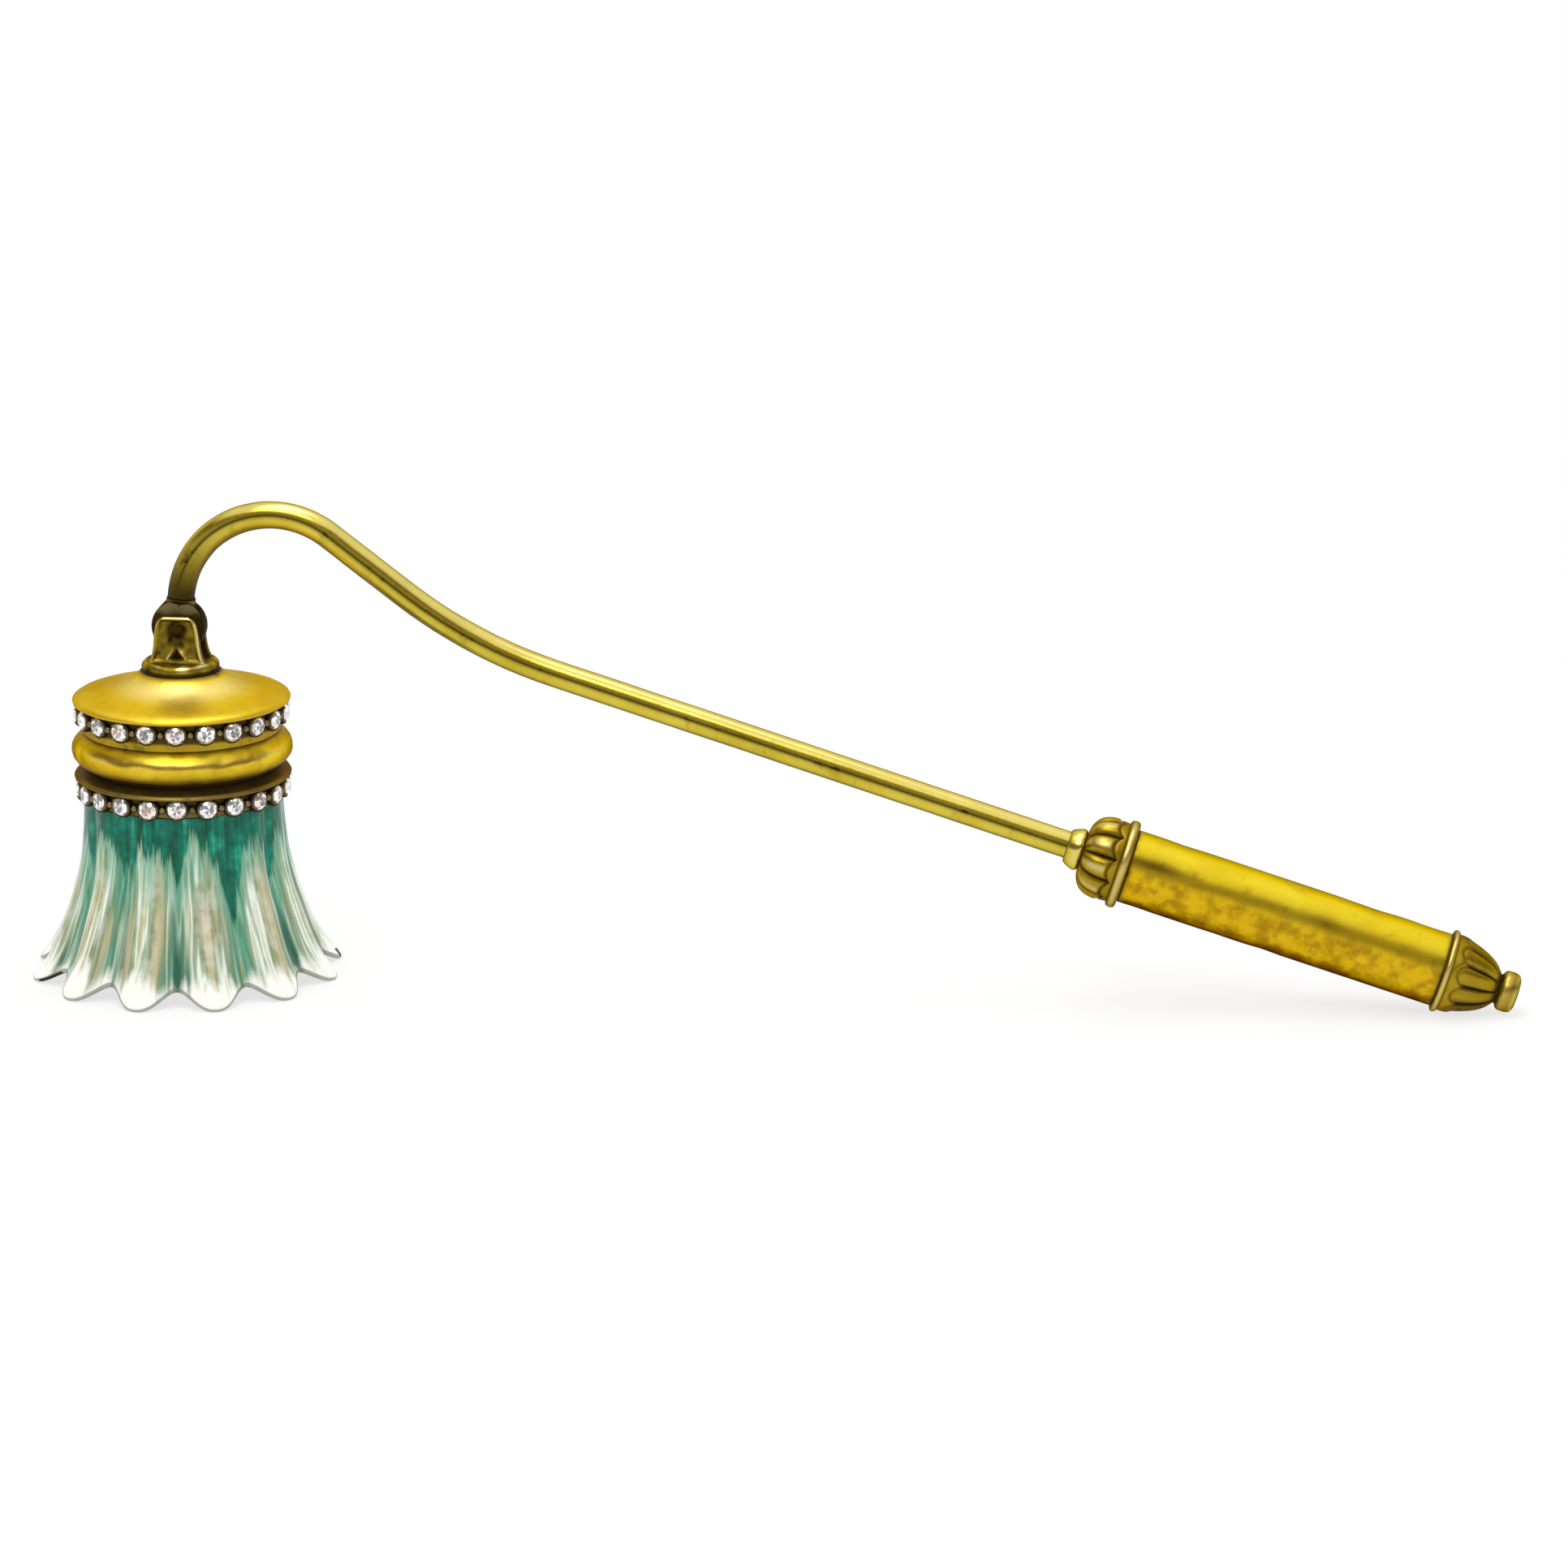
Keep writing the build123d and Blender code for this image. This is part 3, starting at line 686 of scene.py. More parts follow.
def glaze_run(angle):
    """How far the glaze runs down at an angle: furthest in the grooves, little on the ridges."""
    turn = (angle - radians(LOBE_TURN)) / tau * LOBES - 0.5
    groove = round(turn)
    off = abs(turn - groove) * 2
    length = GLAZE_RUNS[groove % LOBES]
    brink = 4.8 + hand((2 * cos(angle), 2 * sin(angle), 0), 1.0, 2.2)
    return brink + (length - brink) * max(1 - off / 0.6, 0) ** 1.25


def shaded_rows_at(angle):
    """How many rows up from the lip are painted dark as shade at an angle."""
    for middle, half, rows in SHADED_LOBE_TIPS:
        if abs((angle - radians(middle) + pi) % tau - pi) < radians(half):
            return rows
    return 0


def make_skirt():
    """The skirt: its glazed face, the rounded lip, the thin dark inside and the closed crown."""
    work = Work()
    columns = LOBES * LOBE_COLUMNS
    shares = [k / SKIRT_ROWS for k in range(SKIRT_ROWS + 1)]
    half_lip = LIP_WALL / 2
    outer, inner = [[] for share in shares], [[] for share in shares]
    lip, crown = [[] for step in range(3)], [[] for ring in range(3)]
    for column in range(columns):
        angle = radians(LOBE_TURN) + tau * column / columns
        edge, run, shaded_rows = lip_height(angle), glaze_run(angle), shaded_rows_at(angle)
        for row, share in enumerate(shares):
            height = SKIRT_TOP + (edge - SKIRT_TOP) * share
            spot = bell_stand.at(skirt_radius(angle, height), height, angle)
            depth = groove_share(angle, height) + 2 * ease(0.975, 1, share)
            # Rows near the lip of some side lobes take painted shade in place of the glaze.
            bare_and_shade = row >= len(shares) - shaded_rows
            outer[row].append((spot, depth, BARE_AND_SHADE if bare_and_shade else run))
        rim = skirt_radius(angle, edge) - half_lip
        for step in range(3):
            swing = pi * (step + 1) / 4
            height = edge - LIP_ROUND * sin(swing)
            spot = bell_stand.at(rim + half_lip * cos(swing), height, angle)
            # The lip's underside is painted dark as shade.
            lip[step].append((spot, 2.0, BARE_AND_SHADE if step > 1 or shaded_rows else 0))
        for row, share in enumerate(shares):
            height = edge + (WEB_BOTTOM - edge) * share
            wall = LIP_WALL + (SKIRT_WALL - LIP_WALL) * ease(0, 0.2, share)
            spot = bell_stand.at(skirt_radius(angle, height) - wall, height, angle)
            inner[row].append((spot, 0.4, BARE_AND_SHADE))
        corners = (STUD_HOLE, WEB_BOTTOM), (STUD_HOLE, SKIRT_TOP), (CROWN_EDGE, SKIRT_TOP)
        for ring, (radius, height) in enumerate(corners):
            crown[ring].append((bell_stand.at(radius, height, angle), 0.4, BARE_AND_SHADE))
    work.rows(outer + lip + inner + crown, ends_meet=True)
    work.piece("enamelled_skirt", "bell", "enamel", "bell_skirt", enamelling(), crease=60)


def dented(size, amount):
    """A shape for turning that leaves the surface a little uneven, as by hand."""

    def shape(radius, station, depth, angle):
        spot = (radius * cos(angle), radius * sin(angle), station)
        return radius + min(hand(spot, size, amount), 0) * min(radius / 4, 1), station, depth

    return shape


def make_collar():
    """The dull lower collar: a band for the stones under a flange."""
    collar = Work()
    outline = [
        (STUD_HOLE, 28.0, 0.5),
        (14.9, 28.0, 0.5),
        (STONE_BAND, 28.15, 0.2),
        (STONE_BAND, 30.6, 0.3),
        (15.3, 30.9, 0.7),
        (16.1, 30.95, 0.6),
        (16.42, 31.1, 0.2),
        (16.5, 31.35, 0.0),
        (16.35, 31.6, 0.1),
        (15.9, 31.8, 0.1),
        (15.2, 32.05, 0.2),
        (14.5, 32.35, 0.6),
        (14.15, 32.5, 1.0),
        (14.15, COLLAR_TOP, 1.0),
        (STUD_HOLE, COLLAR_TOP, 0.5),
    ]
    collar.turned(bell_stand, outline, 176, dented(3.0, 0.06))
    collar.piece("lower_gold_collar", "bell", "antique_gold", "lower_collar", gold_dull)


def make_band():
    """The bulging middle band, with shallow dents round its belly."""
    band = Work()
    outline = [
        (STUD_HOLE, COLLAR_TOP, 0.5),
        (14.3, COLLAR_TOP, 1.0),
        (14.75, 33.05, 1.0),
        (15.5, 33.4, 0.9),
        # Painted shade: the lower slope of the belly carries depth so it reads darker.
        (16.2, 33.95, 0.7),
        (16.65, 34.6, 0.35),
        (16.82, 35.3, 0.05),
        (16.75, 36.0, -0.1),
        (16.4, 36.7, -0.15),
        (15.9, 37.3, 0.05),
        (15.3, 37.9, 0.3),
        (14.9, 38.25, 0.6),
        (14.7, BAND_TOP, 0.8),
        (STUD_HOLE, BAND_TOP, 0.5),
    ]

    def hammered(radius, station, depth, angle):
        dent = hand((5 * cos(angle), 5 * sin(angle), station / 2.6), 1.0, 0.3)
        dent += hand((11 * cos(angle), 11 * sin(angle), station / 1.4), 1.0, 0.06)
        reach = ease(14.4, 16.2, radius)
        slip = dent * 0.6 * reach * ease(38.2, 37, station)
        return radius + min(dent, 0.0) * reach, station + slip, depth

    band.turned(bell_stand, outline, 264, hammered)
    band.piece("middle_gold_band", "bell", "antique_gold", "middle_band", gold_band)


def make_dome():
    """The domed cap: the upper stone band, the brim and the hollow rise to the hinge's foot."""
    dome = Work()
    outline = [
        (STUD_HOLE, BAND_TOP, 0.5),
        (14.8, BAND_TOP, 0.9),
        (STONE_BAND, 38.4, 0.5),
        (STONE_BAND, 39.3, 0.5),
        (STONE_BAND, 39.7, 1.0),
        (STONE_BAND, 42.2, 1.0),
        (15.4, 42.55, 0.9),
        (16.2, 42.62, 0.6),
        (16.5, 42.8, 0.4),
        (16.56, 43.05, 0.2),
        (16.4, 43.35, 0.1),
        (15.9, 43.66, 0.1),
        (15.0, 43.92, 0.1),
        (13.9, 44.16, 0.05),
        (12.6, 44.42, 0.0),
        # Painted highlight: negative depth from radius 11.2 in to 6.9 pales a ring round the dome's
        # rise.
        (11.2, 44.72, -0.1),
        (9.9, 45.08, -0.3),
        (8.7, 45.56, -0.45),
        (7.7, 46.12, -0.45),
        (6.9, 46.7, -0.2),
        (6.35, 47.2, 0.6),
        (6.1, DOME_TOP, 0.9),
        (STUD_HOLE, DOME_TOP, 0.5),
    ]
    dome.turned(bell_stand, outline, 220, dented(4.0, 0.1))
    dome.piece("domed_gold_cap", "bell", "antique_gold", "dome_cap", gold_dome)


def stone_seat(height, place):
    """The stand of one stone: it points outward from the band, set a little unevenly by hand."""
    uneven = [hand((place * 1.7, height, part * 3.1), 1.0, 1.0) for part in range(3)]
    angle = tau * place / STONES + 0.01 * uneven[0]
    origin = bell_stand.at(STONE_BAND, height + 0.28 * uneven[1], angle)
    facing = angle + 0.12 * uneven[0]
    outward = (cos(facing), sin(facing), 0.14 * uneven[2])
    return Stand(origin, outward, (-sin(facing), cos(facing), 0))


def cut_stone(work, seat, place):
    """A brilliant-cut stone, with its crown's facets and the pavilion seen through its table."""
    turn = hand((place * 3.7, 1.3, 0.2), 1.0, 1.2)
    # Painted reflection: each stone's brightness seen through its table.
    bright = 0.85 + hand((place * 2.3, 0.4, 7.7), 1.0, 0.9)
    table = [seat.at(*STONE_TABLE, turn + tau * k / 8) for k in range(8)]
    crown = [seat.at(*STONE_CROWN, turn + tau * (k + 0.5) / 8) for k in range(8)]
    girdle = [seat.at(*STONE_GIRDLE, turn + tau * k / 16) for k in range(16)]
    back = [seat.at(*STONE_BACK, turn + tau * k / 16) for k in range(16)]
    culet = seat.at(0.0, STONE_TABLE[1], 0)
    for k in range(8):
        after, between, beyond = (k + 1) % 8, 2 * k + 1, (2 * k + 2) % 16
        # Each facet's tint is a painted reflection, light or dark.
        sparkle = [
            0.5 + 0.75 * noise.noise(Vector((place * 1.31, k * 0.77, part * 2.3)))
            for part in range(5)
        ]
        seen_through = sparkle[0] * (0.35 if k % 2 else 1.1) * bright
        work.facet([culet, table[k], table[after]], seen_through)
        work.facet([table[k], crown[k], table[after]], 0.9 * sparkle[1] + 0.35)
        work.facet([table[after], crown[k], girdle[beyond], crown[after]], sparkle[2] + 0.3)
        work.facet([crown[k], girdle[2 * k], girdle[between]], 0.8 * sparkle[3] + 0.2)
        work.facet([crown[k], girdle[between], girdle[beyond]], 0.8 * sparkle[4] + 0.2)
    for k in range(16):
        after = (k + 1) % 16
        work.facet([girdle[k], back[k], back[after], girdle[after]], 0.3)
    work.facet(back, 0.3)


def stone_cup(work, seat):
    """A round cup with a rim turned over the stone, and four claws."""
    outline = [
        (0.0, 0.0, 0.5),
        (1.7, 0.0, 0.8),
        (1.76, 0.12, 0.6),
        (1.76, 0.6, 0.3),
        (1.66, 0.84, 0.0),
        (1.54, 0.95, -0.2),
        (1.42, 0.88, 0.8),
        (1.42, 0.3, 1.0),
        (0.0, 0.3, 1.0),
    ]
    work.turned(seat, outline, 24, ends_meet=False)
    for claw in range(4):
        work.bead(seat, 1.4, 0.98, tau * (claw + 0.5) / 4, size=0.22, depth=-0.2)


def cup_link(work, height, place):
    """The link from one cup to the next: a bead between two smaller ones."""
    angle = tau * place / STONES + tau * 0.5 / STONES
    outward, side = (cos(angle), sin(angle), 0), (-sin(angle), cos(angle), 0)
    seat = Stand(bell_stand.at(STONE_BAND, height, angle), outward, side)
    work.bead(seat, 0.0, 0.55, 0, size=0.62, depth=-0.15)
    for way in (-1, 1):
        work.bead(seat, 0.55 * way, 0.4, 0, size=0.26, depth=0.4)


def make_stones():
    """Both rows of stones, each on its chain of cups."""
    for row, (name, height) in enumerate(STONE_HEIGHTS.items()):
        stones, cups = Work(), Work()
        for place in range(STONES):
            seat = stone_seat(height, place)
            cut_stone(stones, seat, place + row * STONES)
            stone_cup(cups, seat)
            cup_link(cups, height, place)
        node = name + "_stones"
        made = name + "_cut_stones"
        stones.piece(made, "bell", "clear_stone", node, clear_stone, crease=1, weld=False)
        cups.piece(name + "_cup_chain", "bell", "dark_brass", name + "_stone_cups", brass_cup)


def ear_relief(across, height):
    """How deep the ear's face lies below its border, and how hollow it is there."""
    half = on_line(EAR_LINE, height)
    border = min(half - abs(across), EAR_TOP - height, height - FOOT_TOP + 0.15)
    panel = ease(0.4, 0.8, border)
    below_arch = ARCH_TOP - height
    leg = 0.1 + below_arch * 0.3 + 0.09 * max(below_arch, 0) ** 2
    ridge = ripple(abs(across), leg, 0.5) * ease(-0.6, 0.8, below_arch)
    arch = ease(0.1, 0.5, leg - 0.25 - abs(across)) * ease(0.2, 1.2, below_arch)
    worn = ease(1.9, 0.9, hypot(across, (height - PIN_Z + 0.7) * 0.6))
    drop = PANEL_DEPTH * panel - 0.3 * ridge * panel + 0.3 * arch * panel
    mottle = hand((across, height, 0), 0.9, 0.5) * panel
    hollow = 0.4 * panel + 0.7 * arch * panel - 0.65 * ridge * panel + 0.6 * worn + mottle
    # Painted highlight: the border is paler along the top and down the side where across is above
    # 0.
    bright = 0.55 if height > EAR_TOP - 0.6 or across > 0 else 0.1
    return drop, min(hollow, 1.0) if border > 0.4 else -bright * ease(0.45, 0.1, border)


def frame_of(face):
    """The points round the edge of a face made of lines, from its lower left corner."""
    left, right = [line[0] for line in face], [line[-1] for line in reversed(face)]
    return left + face[-1] + right + face[0][::-1]


def make_ear(work, way):
    """One ear: a bordered face with an arch, rounded edges and a plain inner face."""
    tall, wide = 56, 40
    foot = FOOT_TOP - 0.1
    face, inner = [], []
    for row in range(tall + 1):
        height = foot + (EAR_TOP - FOOT_TOP + 0.1) * row / tall
        half = on_line(EAR_LINE, height)
        line = []
        for column in range(wide + 1):
            across = half * (2 * column / wide - 1)
            drop, hollow = ear_relief(across, height)
            rounding = 0.22 * (1 - ease(0, 0.35, min(half - abs(across), EAR_TOP - height)))
            out = way * (EAR_OUTER - drop - rounding)
            line.append((Vector((across, out, height)), hollow, 0))
        face.append(line)
        inner.append([(Vector((spot.x, way * EAR_INNER, spot.z)), 0.8, 0) for spot, *_ in line])
    work.rows(face, sides_meet=False)
    work.rows(inner, sides_meet=False)
    work.rows([frame_of(face), frame_of(inner)])


def make_clevis():
    """The two ears on their round foot, and the stud below it."""
    clevis = Work()
    for way in (-1, 1):
        make_ear(clevis, way)
    outline = [
        (0.0, DOME_TOP, 0.6),
        (FOOT_RADIUS - 0.15, DOME_TOP, 1.0),
        (FOOT_RADIUS, 47.55, 1.0),
        (FOOT_RADIUS - 0.2, 47.75, 0.9),
        (FOOT_RADIUS - 0.08, 48.0, 0.6),
        (FOOT_RADIUS - 0.1, 48.35, 0.35),
        (FOOT_RADIUS - 0.25, 48.7, 0.0),
        (FOOT_RADIUS - 0.6, 49.0, -0.25),
        (FOOT_RADIUS - 1.5, FOOT_TOP, 0.3),
        (0.0, FOOT_TOP, 0.8),
    ]

    def lumpy(radius, station, depth, angle):
        lump = hand((6 * cos(angle), 6 * sin(angle), station), 1.7, 1.0)
        low = min(lump, 0) * 0.25 * ease(47.5, 48.2, station) * min(radius / 4, 1)
        return radius + low, station, depth - lump * ease(47.6, 48.2, station)

    clevis.turned(bell_stand, outline, 96, lumpy, ends_meet=False)
    stud = [
        (0.0, STUD_END, 0.2),
        (STUD_RADIUS - 0.2, STUD_END, 0.2),
        (STUD_RADIUS, STUD_END + 0.2, 0.2),
        (STUD_RADIUS, DOME_TOP, 0.2),
        (0.0, DOME_TOP, 0.2),
    ]
    clevis.turned(bell_stand, stud, 24, ends_meet=False)
    clevis.piece("hinge_ears_and_foot", "bell", "antique_gold", "hinge_clevis", gold_ear)


def make_rivet():
    """The rivet's two low heads, one in each ear's panel, and its shank between them."""
    pin = Work()
    head = EAR_OUTER - PANEL_DEPTH
    outline = [
        (0.0, -head - 0.3, 0.2),
        (0.55, -head - 0.27, 0.1),
        (0.95, -head - 0.15, 0.0),
        (PIN_HEAD, -head + 0.02, 0.8),
        (PIN_RADIUS, -head + 0.05, 0.8),
    ]
    outline += [(radius, -station, depth) for radius, station, depth in reversed(outline)]
    pin.turned(pin_stand, outline, 32, ends_meet=False)
    pin.piece("hinge_rivet", "bell", "dark_brass", "hinge_pin", brass_black)


def make_knuckle():
    """The disc between the ears, and the shouldered neck that takes the stem."""
    knuckle = Work()
    disc = [
        (PIN_RADIUS + 0.05, -KNUCKLE_HALF, 0.6),
        (KNUCKLE_RADIUS - 0.35, -KNUCKLE_HALF, 0.4),
        (KNUCKLE_RADIUS - 0.1, -KNUCKLE_HALF + 0.12, 0.3),
        (KNUCKLE_RADIUS, -KNUCKLE_HALF + 0.4, 0.6),
    ]
    disc += [(radius, -station, depth) for radius, station, depth in reversed(disc)]
    neck = [
        (0.0, 1.4, 0.5),
        (3.75, 1.4, 0.2),
        (3.5, 2.1, 0.1),
        (3.1, 2.7, 0.0),
        (2.7, 3.2, 0.0),
        (2.42, 3.55, -0.05),
        (2.28, 3.8, -0.15),
        (2.2, 4.0, -0.2),
        (2.2, 4.2, -0.1),
        (2.18, 4.35, 0.3),
        (2.0, 4.46, 1.0),
        (0.0, 4.48, 1.0),
    ]

    # Painted light: the disc is paler on top and browner below.
    def paler_on_top_painted(radius, station, depth, angle):
        return radius, station, depth - 0.55 * ease(0.1, -0.9, sin(angle))

    def shouldered(radius, station, depth, angle):
        thin = KNUCKLE_HALF / radius if radius > KNUCKLE_HALF else 1
        flat = thin + (1 - thin) * ease(3.5, 4.3, station)
        return radius / hypot(cos(angle) / flat, sin(angle)), station, depth

    knuckle.turned(pin_stand, disc, 72, paler_on_top_painted)
    knuckle.turned(neck_stand, neck, 48, shouldered, ends_meet=False)
    knuckle.piece("hinge_knuckle", "handle", "dark_brass", "stem_knuckle", brass_black)


def rod_path():
    """The stem's centreline: places and headings from the neck over the crook to the knob."""
    spot, heading = Vector((0, 0, PIN_Z)) + neck_way * NECK_REACH, 90 - NECK_LEAN
    path = []
    bends = (
        (CROOK_RADIUS, -(90 - NECK_LEAN + CROOK_FALL), 64),
        (0, 0, 16),
        (REVERSE_RADIUS, CROOK_FALL - TILT, 16),
    )
    for radius, bend, steps in bends:
        half_turn = radians(abs(bend) / steps / 2)
        chord = 2 * radius * sin(half_turn) if radius else CROOK_RUN / steps
        for step in range(steps):
            turned = heading + bend * step / steps
            path.append((spot.copy(), turned))
            middle = radians(turned + bend / steps / 2)
            spot += Vector((cos(middle), 0, sin(middle))) * chord
        heading += bend
    run = handle_stand.at(0, KNOB_START, 0) - spot
    for step in range(41):
        path.append((spot + run * step / 40, heading))
    return path


def stem_depth(spot, height):
    """How brown the rod is by its place, with a painted dark reflection line along its side,
    painted shade underneath and a painted highlight on top.
    """
    brown = 0.97 * ease(BROWN_END, BROWN_FOOT, spot.z) if spot.x < BROWN_REACH else 0
    # Painted dark reflection: a brown line along the rod's side.
    line = ripple(height, 0.2, 0.18)
    # Painted shade along the rod's underside.
    under = 0.85 * ease(-0.5 + 0.25 * ease(50, 30, spot.x), -1.0, height)
    # Painted highlight: the top of the rod is paled.
    worn = -0.32 * ease(0.45, 0.75, height) * (1 - brown)
    return max(brown, line, under) + worn


def make_stem():
    """The bent rod, with its ends closed, and its thin tail in the knob."""
    rod = Work()
    rows = []
    for spot, heading in rod_path():
        way = Vector((cos(radians(heading)), 0, sin(radians(heading))))
        ring = Stand(spot, way, (0, 1, 0))
        row = []
        for place in range(40):
            angle = tau * place / 40
            touch = min(hand(ring.at(ROD_RADIUS, 0, angle), 4.0, 0.06), 0)
            depth = stem_depth(spot, sin(angle))
            row.append((ring.at(ROD_RADIUS + touch, 0, angle), depth, 0))
        rows.append(row)
    for end in (rows[0], rows[-1]):
        centre = sum((spot for spot, depth, tint in end), Vector()) / len(end)
        rows.insert(0 if end is rows[0] else len(rows), [(centre, 0.5, 0)] * len(end))
    rod.rows(rows)
    tail = [(0.0, -0.2, 0.3), (1.5, -0.2, 0.3), (1.5, 2.2, 0.3), (0.0, 2.2, 0.3)]
    knob_seat = Stand(handle_stand.at(0, KNOB_START, 0), handle_way, (0, 1, 0))
    rod.turned(knob_seat, tail, 16, ends_meet=False)
    rod.piece("stem_gold_rod", "handle", "antique_gold", "stem_rod", gold_rod)


def make_tube():
    """The grip tube: amber tarnish below, painted shade along its underside, and a painted dark
    reflection line along its side.
    """
    tube = Work()
    front_end = [
        (TUBE_RADIUS - TUBE_WALL, 0.0, 0.6),
        (TUBE_RADIUS - 0.1, 0.0, 0.9),
        (TUBE_RADIUS - 0.02, 0.15, 0.9),
        (TUBE_RADIUS, 0.5, 0.3),
    ]
    plain = [(TUBE_RADIUS, 1 + (TUBE_LENGTH - 2) * k / 40, 0.0) for k in range(41)]
    rear_end = [(radius, TUBE_LENGTH - place, depth) for radius, place, depth in front_end[::-1]]

    # Amber tarnish on the lower half, and painted shade browning the underside.
    def below(angle):
        return ease(0.46, 0.1, sin(angle)) + 0.9 * ease(-0.5, -0.98, sin(angle))

    uneven = dented(5.0, 0.16)

    def with_painted_line(radius, station, depth, angle):
        # Painted dark reflection: a soft brown line along the tube's side.
        share = 0.55 + hand((station, 0, 0), 9.0, 0.5) + 0.25 * exp(-station / 6)
        line = share * ripple(sin(angle), 0.46, 0.19)
        return uneven(radius, station, max(depth, line), angle)

    outline = front_end + plain + rear_end
    tube.turned(handle_stand, outline, 128, with_painted_line, tarnish_and_shade=below)
    tube.piece("handle_gold_tube", "handle", "antique_gold", "handle_tube", gold_tube)


def make_rim(name, node, start, width, radius):
    """A raised ring at one end of the tube, rubbed bright along its crest."""
    rim = Work()
    outline = [
        (TUBE_RADIUS - TUBE_WALL, start, 0.5),
        (radius - 0.45, start, 0.9),
        (radius - 0.15, start + width * 0.12, 0.1),
        (radius, start + width * 0.35, -0.45),
        (radius, start + width * 0.65, -0.3),
        (radius - 0.15, start + width * 0.88, 0.1),
        (radius - 0.45, start + width, 0.9),
        (TUBE_RADIUS - TUBE_WALL, start + width, 0.5),
    ]
    rim.turned(handle_stand, outline, 96, dented(2.0, 0.1))
    rim.piece(name, "handle", "antique_gold", node, gold_cap)


def make_front_cap():
    """The front cap: ten petals with rounded ends under a narrow lip."""
    cap = Work()
    end = -FRONT_RIM - FRONT_CAP
    outline = [
        (CAP_BORE, FRONT_RIM + 0.5, 0.6),
        (CAP_SPIGOT, FRONT_RIM + 0.5, 0.6),
        (CAP_SPIGOT, -FRONT_RIM, 0.6),
    ]
    for k in range(37):
        out = FRONT_CAP * k / 36
        radius = on_line(FRONT_CAP_LINE, out)
        outline.append((radius, -FRONT_RIM - out, 0.5 * ease(0.35, 0.0, out)))
    outline.append((CAP_BORE, end, 1.0))

    def petals(radius, station, depth, angle):
        turn = angle / tau * PETALS
        across = abs(2 * (turn - round(turn)))
        along = (station - end) / FRONT_CAP
        arch = 0.9 - 0.16 * (1 - across**2)
        inside = ease(-0.02, 0.03, along) * ease(arch + 0.03, arch - 0.05, along)
        cut = (across**3.2) * 0.75 * inside * min(radius / 5, 1)
        swell = 0.12 * (1 - across**2) * inside
        lip = ripple(along, arch, 0.05) * ease(0.5, 0.7, along)
        shade = max(depth, 0.95 * ease(0.62, 0.98, across) * inside, 0.9 * lip)
        shade = shade - 0.35 * ease(0.5, 0.0, across) * inside
        return radius - cut + swell - 0.16 * lip, station, shade

    cap.turned(handle_stand, outline, 240, petals)
    cap.piece("front_petal_cap", "handle", "antique_gold", "front_cap", gold_cap)


def make_rear_cap():
    """The rear cap: ten teardrops that start in an arch and close towards the knob."""
    cap = Work()
    outline = [
        (CAP_BORE, TUBE_LENGTH - 2.0, 0.6),
        (CAP_SPIGOT, TUBE_LENGTH - 2.0, 0.6),
        (CAP_SPIGOT, REAR_START, 0.6),
    ]
    for k in range(41):
        out = REAR_CAP * k / 40
        radius = on_line(REAR_CAP_LINE, out)
        outline.append((radius, REAR_START + out, 0.5 * ease(0.35, 0.0, out)))
    outline.append((CAP_BORE, KNOB_START, 1.0))

    def teardrops(radius, station, depth, angle):
        turn = angle / tau * PETALS + 0.5
        across = abs(2 * (turn - round(turn)))
        along = (station - REAR_START) / REAR_CAP
        arch = 0.13 + 0.16 * across**2
        inside = ease(arch - 0.03, arch + 0.05, along)
        cut = (across**3.0) * 0.7 * inside * min(radius / 5, 1)
        shade = max(depth, 0.95 * ease(0.62, 0.98, across) * inside)
        shade -= 0.3 * ease(0.5, 0.0, across) * inside
        # Painted shade: the cap's underside is browned.
        shade += 0.6 * ease(0.2, -0.8, sin(angle)) * inside
        lip = ripple(along, arch, 0.035) * ease(-0.01, 0.04, along)
        return radius - cut - 0.12 * lip, station, max(shade, 0.6 * lip)

    cap.turned(handle_stand, outline, 240, teardrops)
    cap.piece("rear_petal_cap", "handle", "antique_gold", "rear_cap", gold_cap)


def make_nub():
    """The small rounded collar where the stem enters the handle."""
    nub = Work()
    start = -FRONT_RIM - FRONT_CAP - NUB
    outline = [
        (ROD_RADIUS, start, 0.9),
        (2.35, start + 0.02, 0.8),
        (2.55, start + 0.15, 0.3),
        (2.75, start + 0.5, 0.0),
        (2.98, start + 1.0, -0.2),
        (3.17, start + 1.5, -0.3),
        (NUB_RADIUS, start + 1.9, -0.2),
        (3.18, start + 2.2, 0.0),
        (2.95, start + 2.42, 0.7),
        (2.6, start + NUB, 1.0),
        (ROD_RADIUS, start + NUB, 1.0),
    ]
    nub.turned(handle_stand, outline, 72, dented(1.6, 0.06))
    nub.piece("front_gold_nub", "handle", "antique_gold", "front_nub", gold_rod)


def make_knob():
    """The rounded end knob, bored for the rod's tail."""
    knob = Work()
    outline = [
        (1.5, KNOB_START, 0.9),
        (2.3, KNOB_START, 0.9),
        (2.25, KNOB_START + 0.3, 1.0),
        (2.5, KNOB_START + 0.5, 0.8),
        (2.85, KNOB_START + 0.65, 0.2),
        (KNOB_RADIUS, KNOB_START + 1.1, -0.2),
        (KNOB_RADIUS, KNOB_START + 2.2, 0.0),
        (2.9, KNOB_START + 2.85, -0.3),
        (2.27, KNOB_START + 3.22, -0.1),
        (1.2, KNOB_START + KNOB, 0.1),
        (0.0, KNOB_START + KNOB, 0.1),
        (0.0, KNOB_START + 2.2, 0.9),
        (1.5, KNOB_START + 2.2, 0.9),
    ]
    knob.turned(handle_stand, outline, 72, dented(1.6, 0.06))
    knob.piece("end_gold_knob", "handle", "antique_gold", "finial_knob", gold_cap)


def make_fixings():
    """The washer and the nut under the skirt's web keep their solids and get plain steel."""
    for node in ("stack_washer", "stack_nut"):
        solid = frame["nodes"][node]
        solid.data.materials.clear()
        solid.data.materials.append(steel)


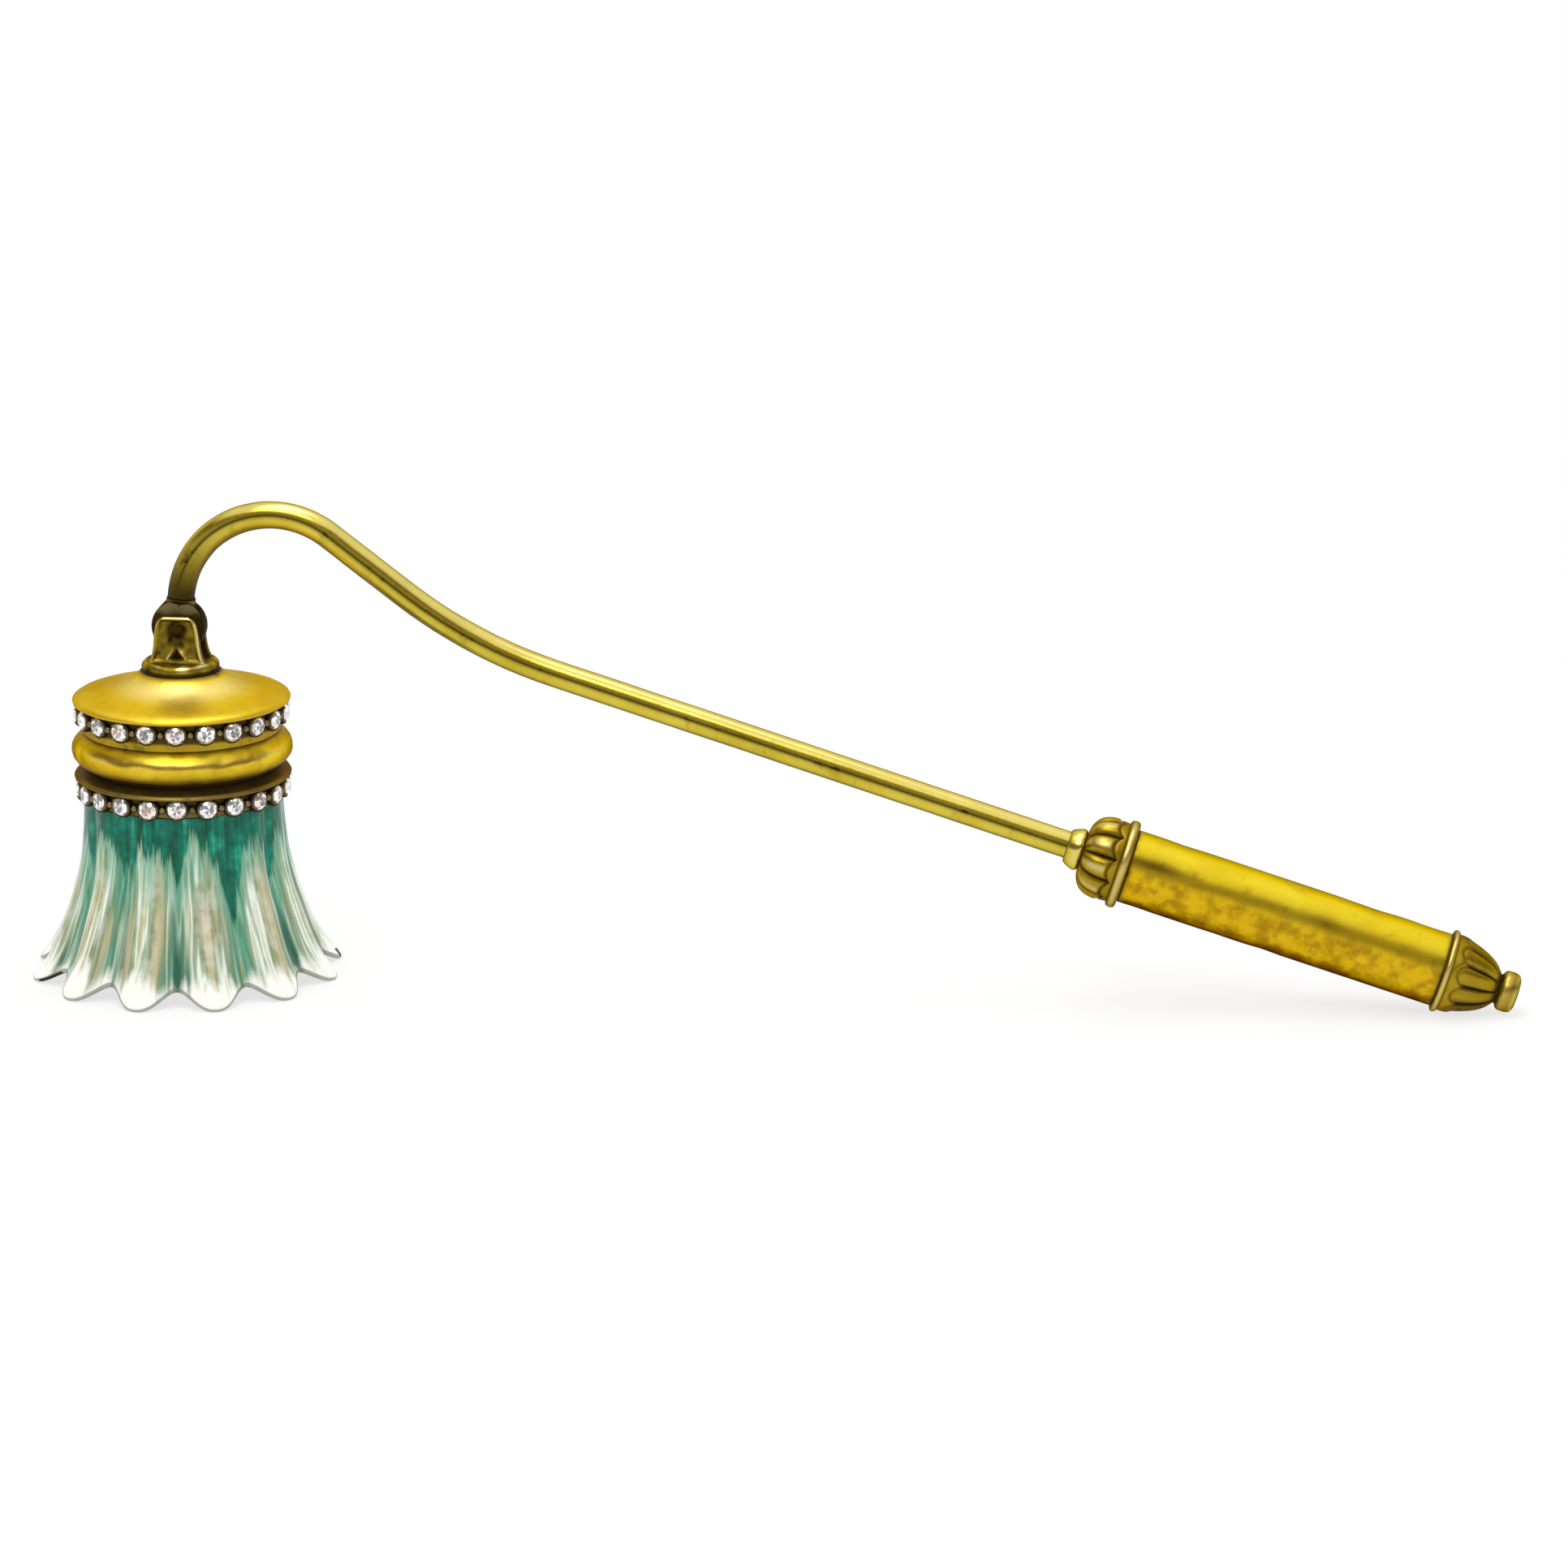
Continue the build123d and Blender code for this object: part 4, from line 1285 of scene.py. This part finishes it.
def make_floor():
    """A plain pale floor, seen white, which keeps the object's shadow."""
    mesh = bpy.data.meshes.new("floor")
    ways = ((-1, -1), (1, -1), (1, 1), (-1, 1))
    corners = [(FLOOR_HALF * x, FLOOR_HALF * y, 0) for x, y in ways]
    mesh.from_pydata(corners, [], [(0, 1, 2, 3)])
    finish = Finish("pale_floor")
    place = finish.place()
    seen = finish.node("LightPath", output="Is Camera Ray")
    mirrored = finish.node("LightPath", output="Is Glossy Ray")
    through = finish.node("LightPath", output="Is Transmission Ray")
    matt = finish.mix(finish.cloud(place, 60.0), paint(240, 240, 240), paint(246, 246, 246))
    matt = finish.node("BsdfDiffuse", None, {"Color": matt})
    glow = finish.node("Emission", None, {"Color": WHITE, "Strength": 1.0})
    from_middle = {0: place, 1: (90, 0, 0)}
    away = finish.node("VectorMath", {"operation": "DISTANCE"}, from_middle, "Value")
    share = (seen + mirrored + through).least(1.0) * (0.74 + away.step(150.0, 400.0) * 0.26)
    both = finish.node("MixShader", None, {0: share, 1: matt, 2: glow})
    finish.node("OutputMaterial", None, {"Surface": both})
    mesh.materials.append(finish.material)
    floor = bpy.data.objects.new("floor", mesh)
    bpy.context.scene.collection.objects.link(floor)


def make_light():
    """Two soft boxes and a pale room, darker in front between the horizon and the ceiling."""
    scene = bpy.context.scene
    world = bpy.data.worlds.new("studio")
    world.use_nodes = True
    room = Shader(world.node_tree)
    way = room.node("TexCoord", output="Generated")
    height = room.node("SeparateXYZ", None, {0: way}, 2)
    behind = room.node("SeparateXYZ", None, {0: way}, 1).step(0.1, 0.6)
    walls = [
        (0.0, WHITE),
        (0.62, WHITE),
        (0.66, WARM_SHADE),
        (0.82, WARM_SHADE),
        (0.87, OFF_WHITE),
        (1.0, WHITE),
    ]
    grey = room.mix(behind * 0.85, room.ramp(height * 0.5 + 0.5, walls), WHITE)
    light = room.node("Background", None, {"Color": grey, "Strength": ROOM_LIGHT})
    room.node("OutputWorld", None, {"Surface": light})
    scene.world = world
    for name, spot, aim, wide, deep, power in LAMPS:
        lamp = bpy.data.lights.new(name, "AREA")
        lamp.shape, lamp.size, lamp.size_y, lamp.energy = "RECTANGLE", wide, deep, power
        hung = bpy.data.objects.new(name, lamp)
        hung.location = spot
        hung.rotation_euler = (Vector(aim) - Vector(spot)).to_track_quat("-Z", "Y").to_euler()
        scene.collection.objects.link(hung)


def make_camera():
    """The photograph's view: a little above, from the front."""
    lens = bpy.data.cameras.new("camera")
    lens.lens, lens.sensor_width, lens.clip_end = CAMERA_LENS, CAMERA_FILM, 20.0
    camera = bpy.data.objects.new("camera", lens)
    camera.location = CAMERA_PLACE
    camera.rotation_euler = [radians(turn) for turn in CAMERA_TURN]
    bpy.context.scene.collection.objects.link(camera)
    bpy.context.scene.camera = camera


bpy.context.scene.view_settings.view_transform = "Standard"
make_camera()
make_light()
make_floor()
make_skirt()
make_collar()
make_band()
make_dome()
make_stones()
make_clevis()
make_rivet()
make_knuckle()
make_stem()
make_tube()
make_rim("front_gold_rim", "front_rim", -FRONT_RIM, FRONT_RIM, FRONT_RIM_RADIUS)
make_rim("rear_gold_rim", "rear_rim", TUBE_LENGTH, REAR_RIM, REAR_RIM_RADIUS)
make_front_cap()
make_rear_cap()
make_nub()
make_knob()
make_fixings()
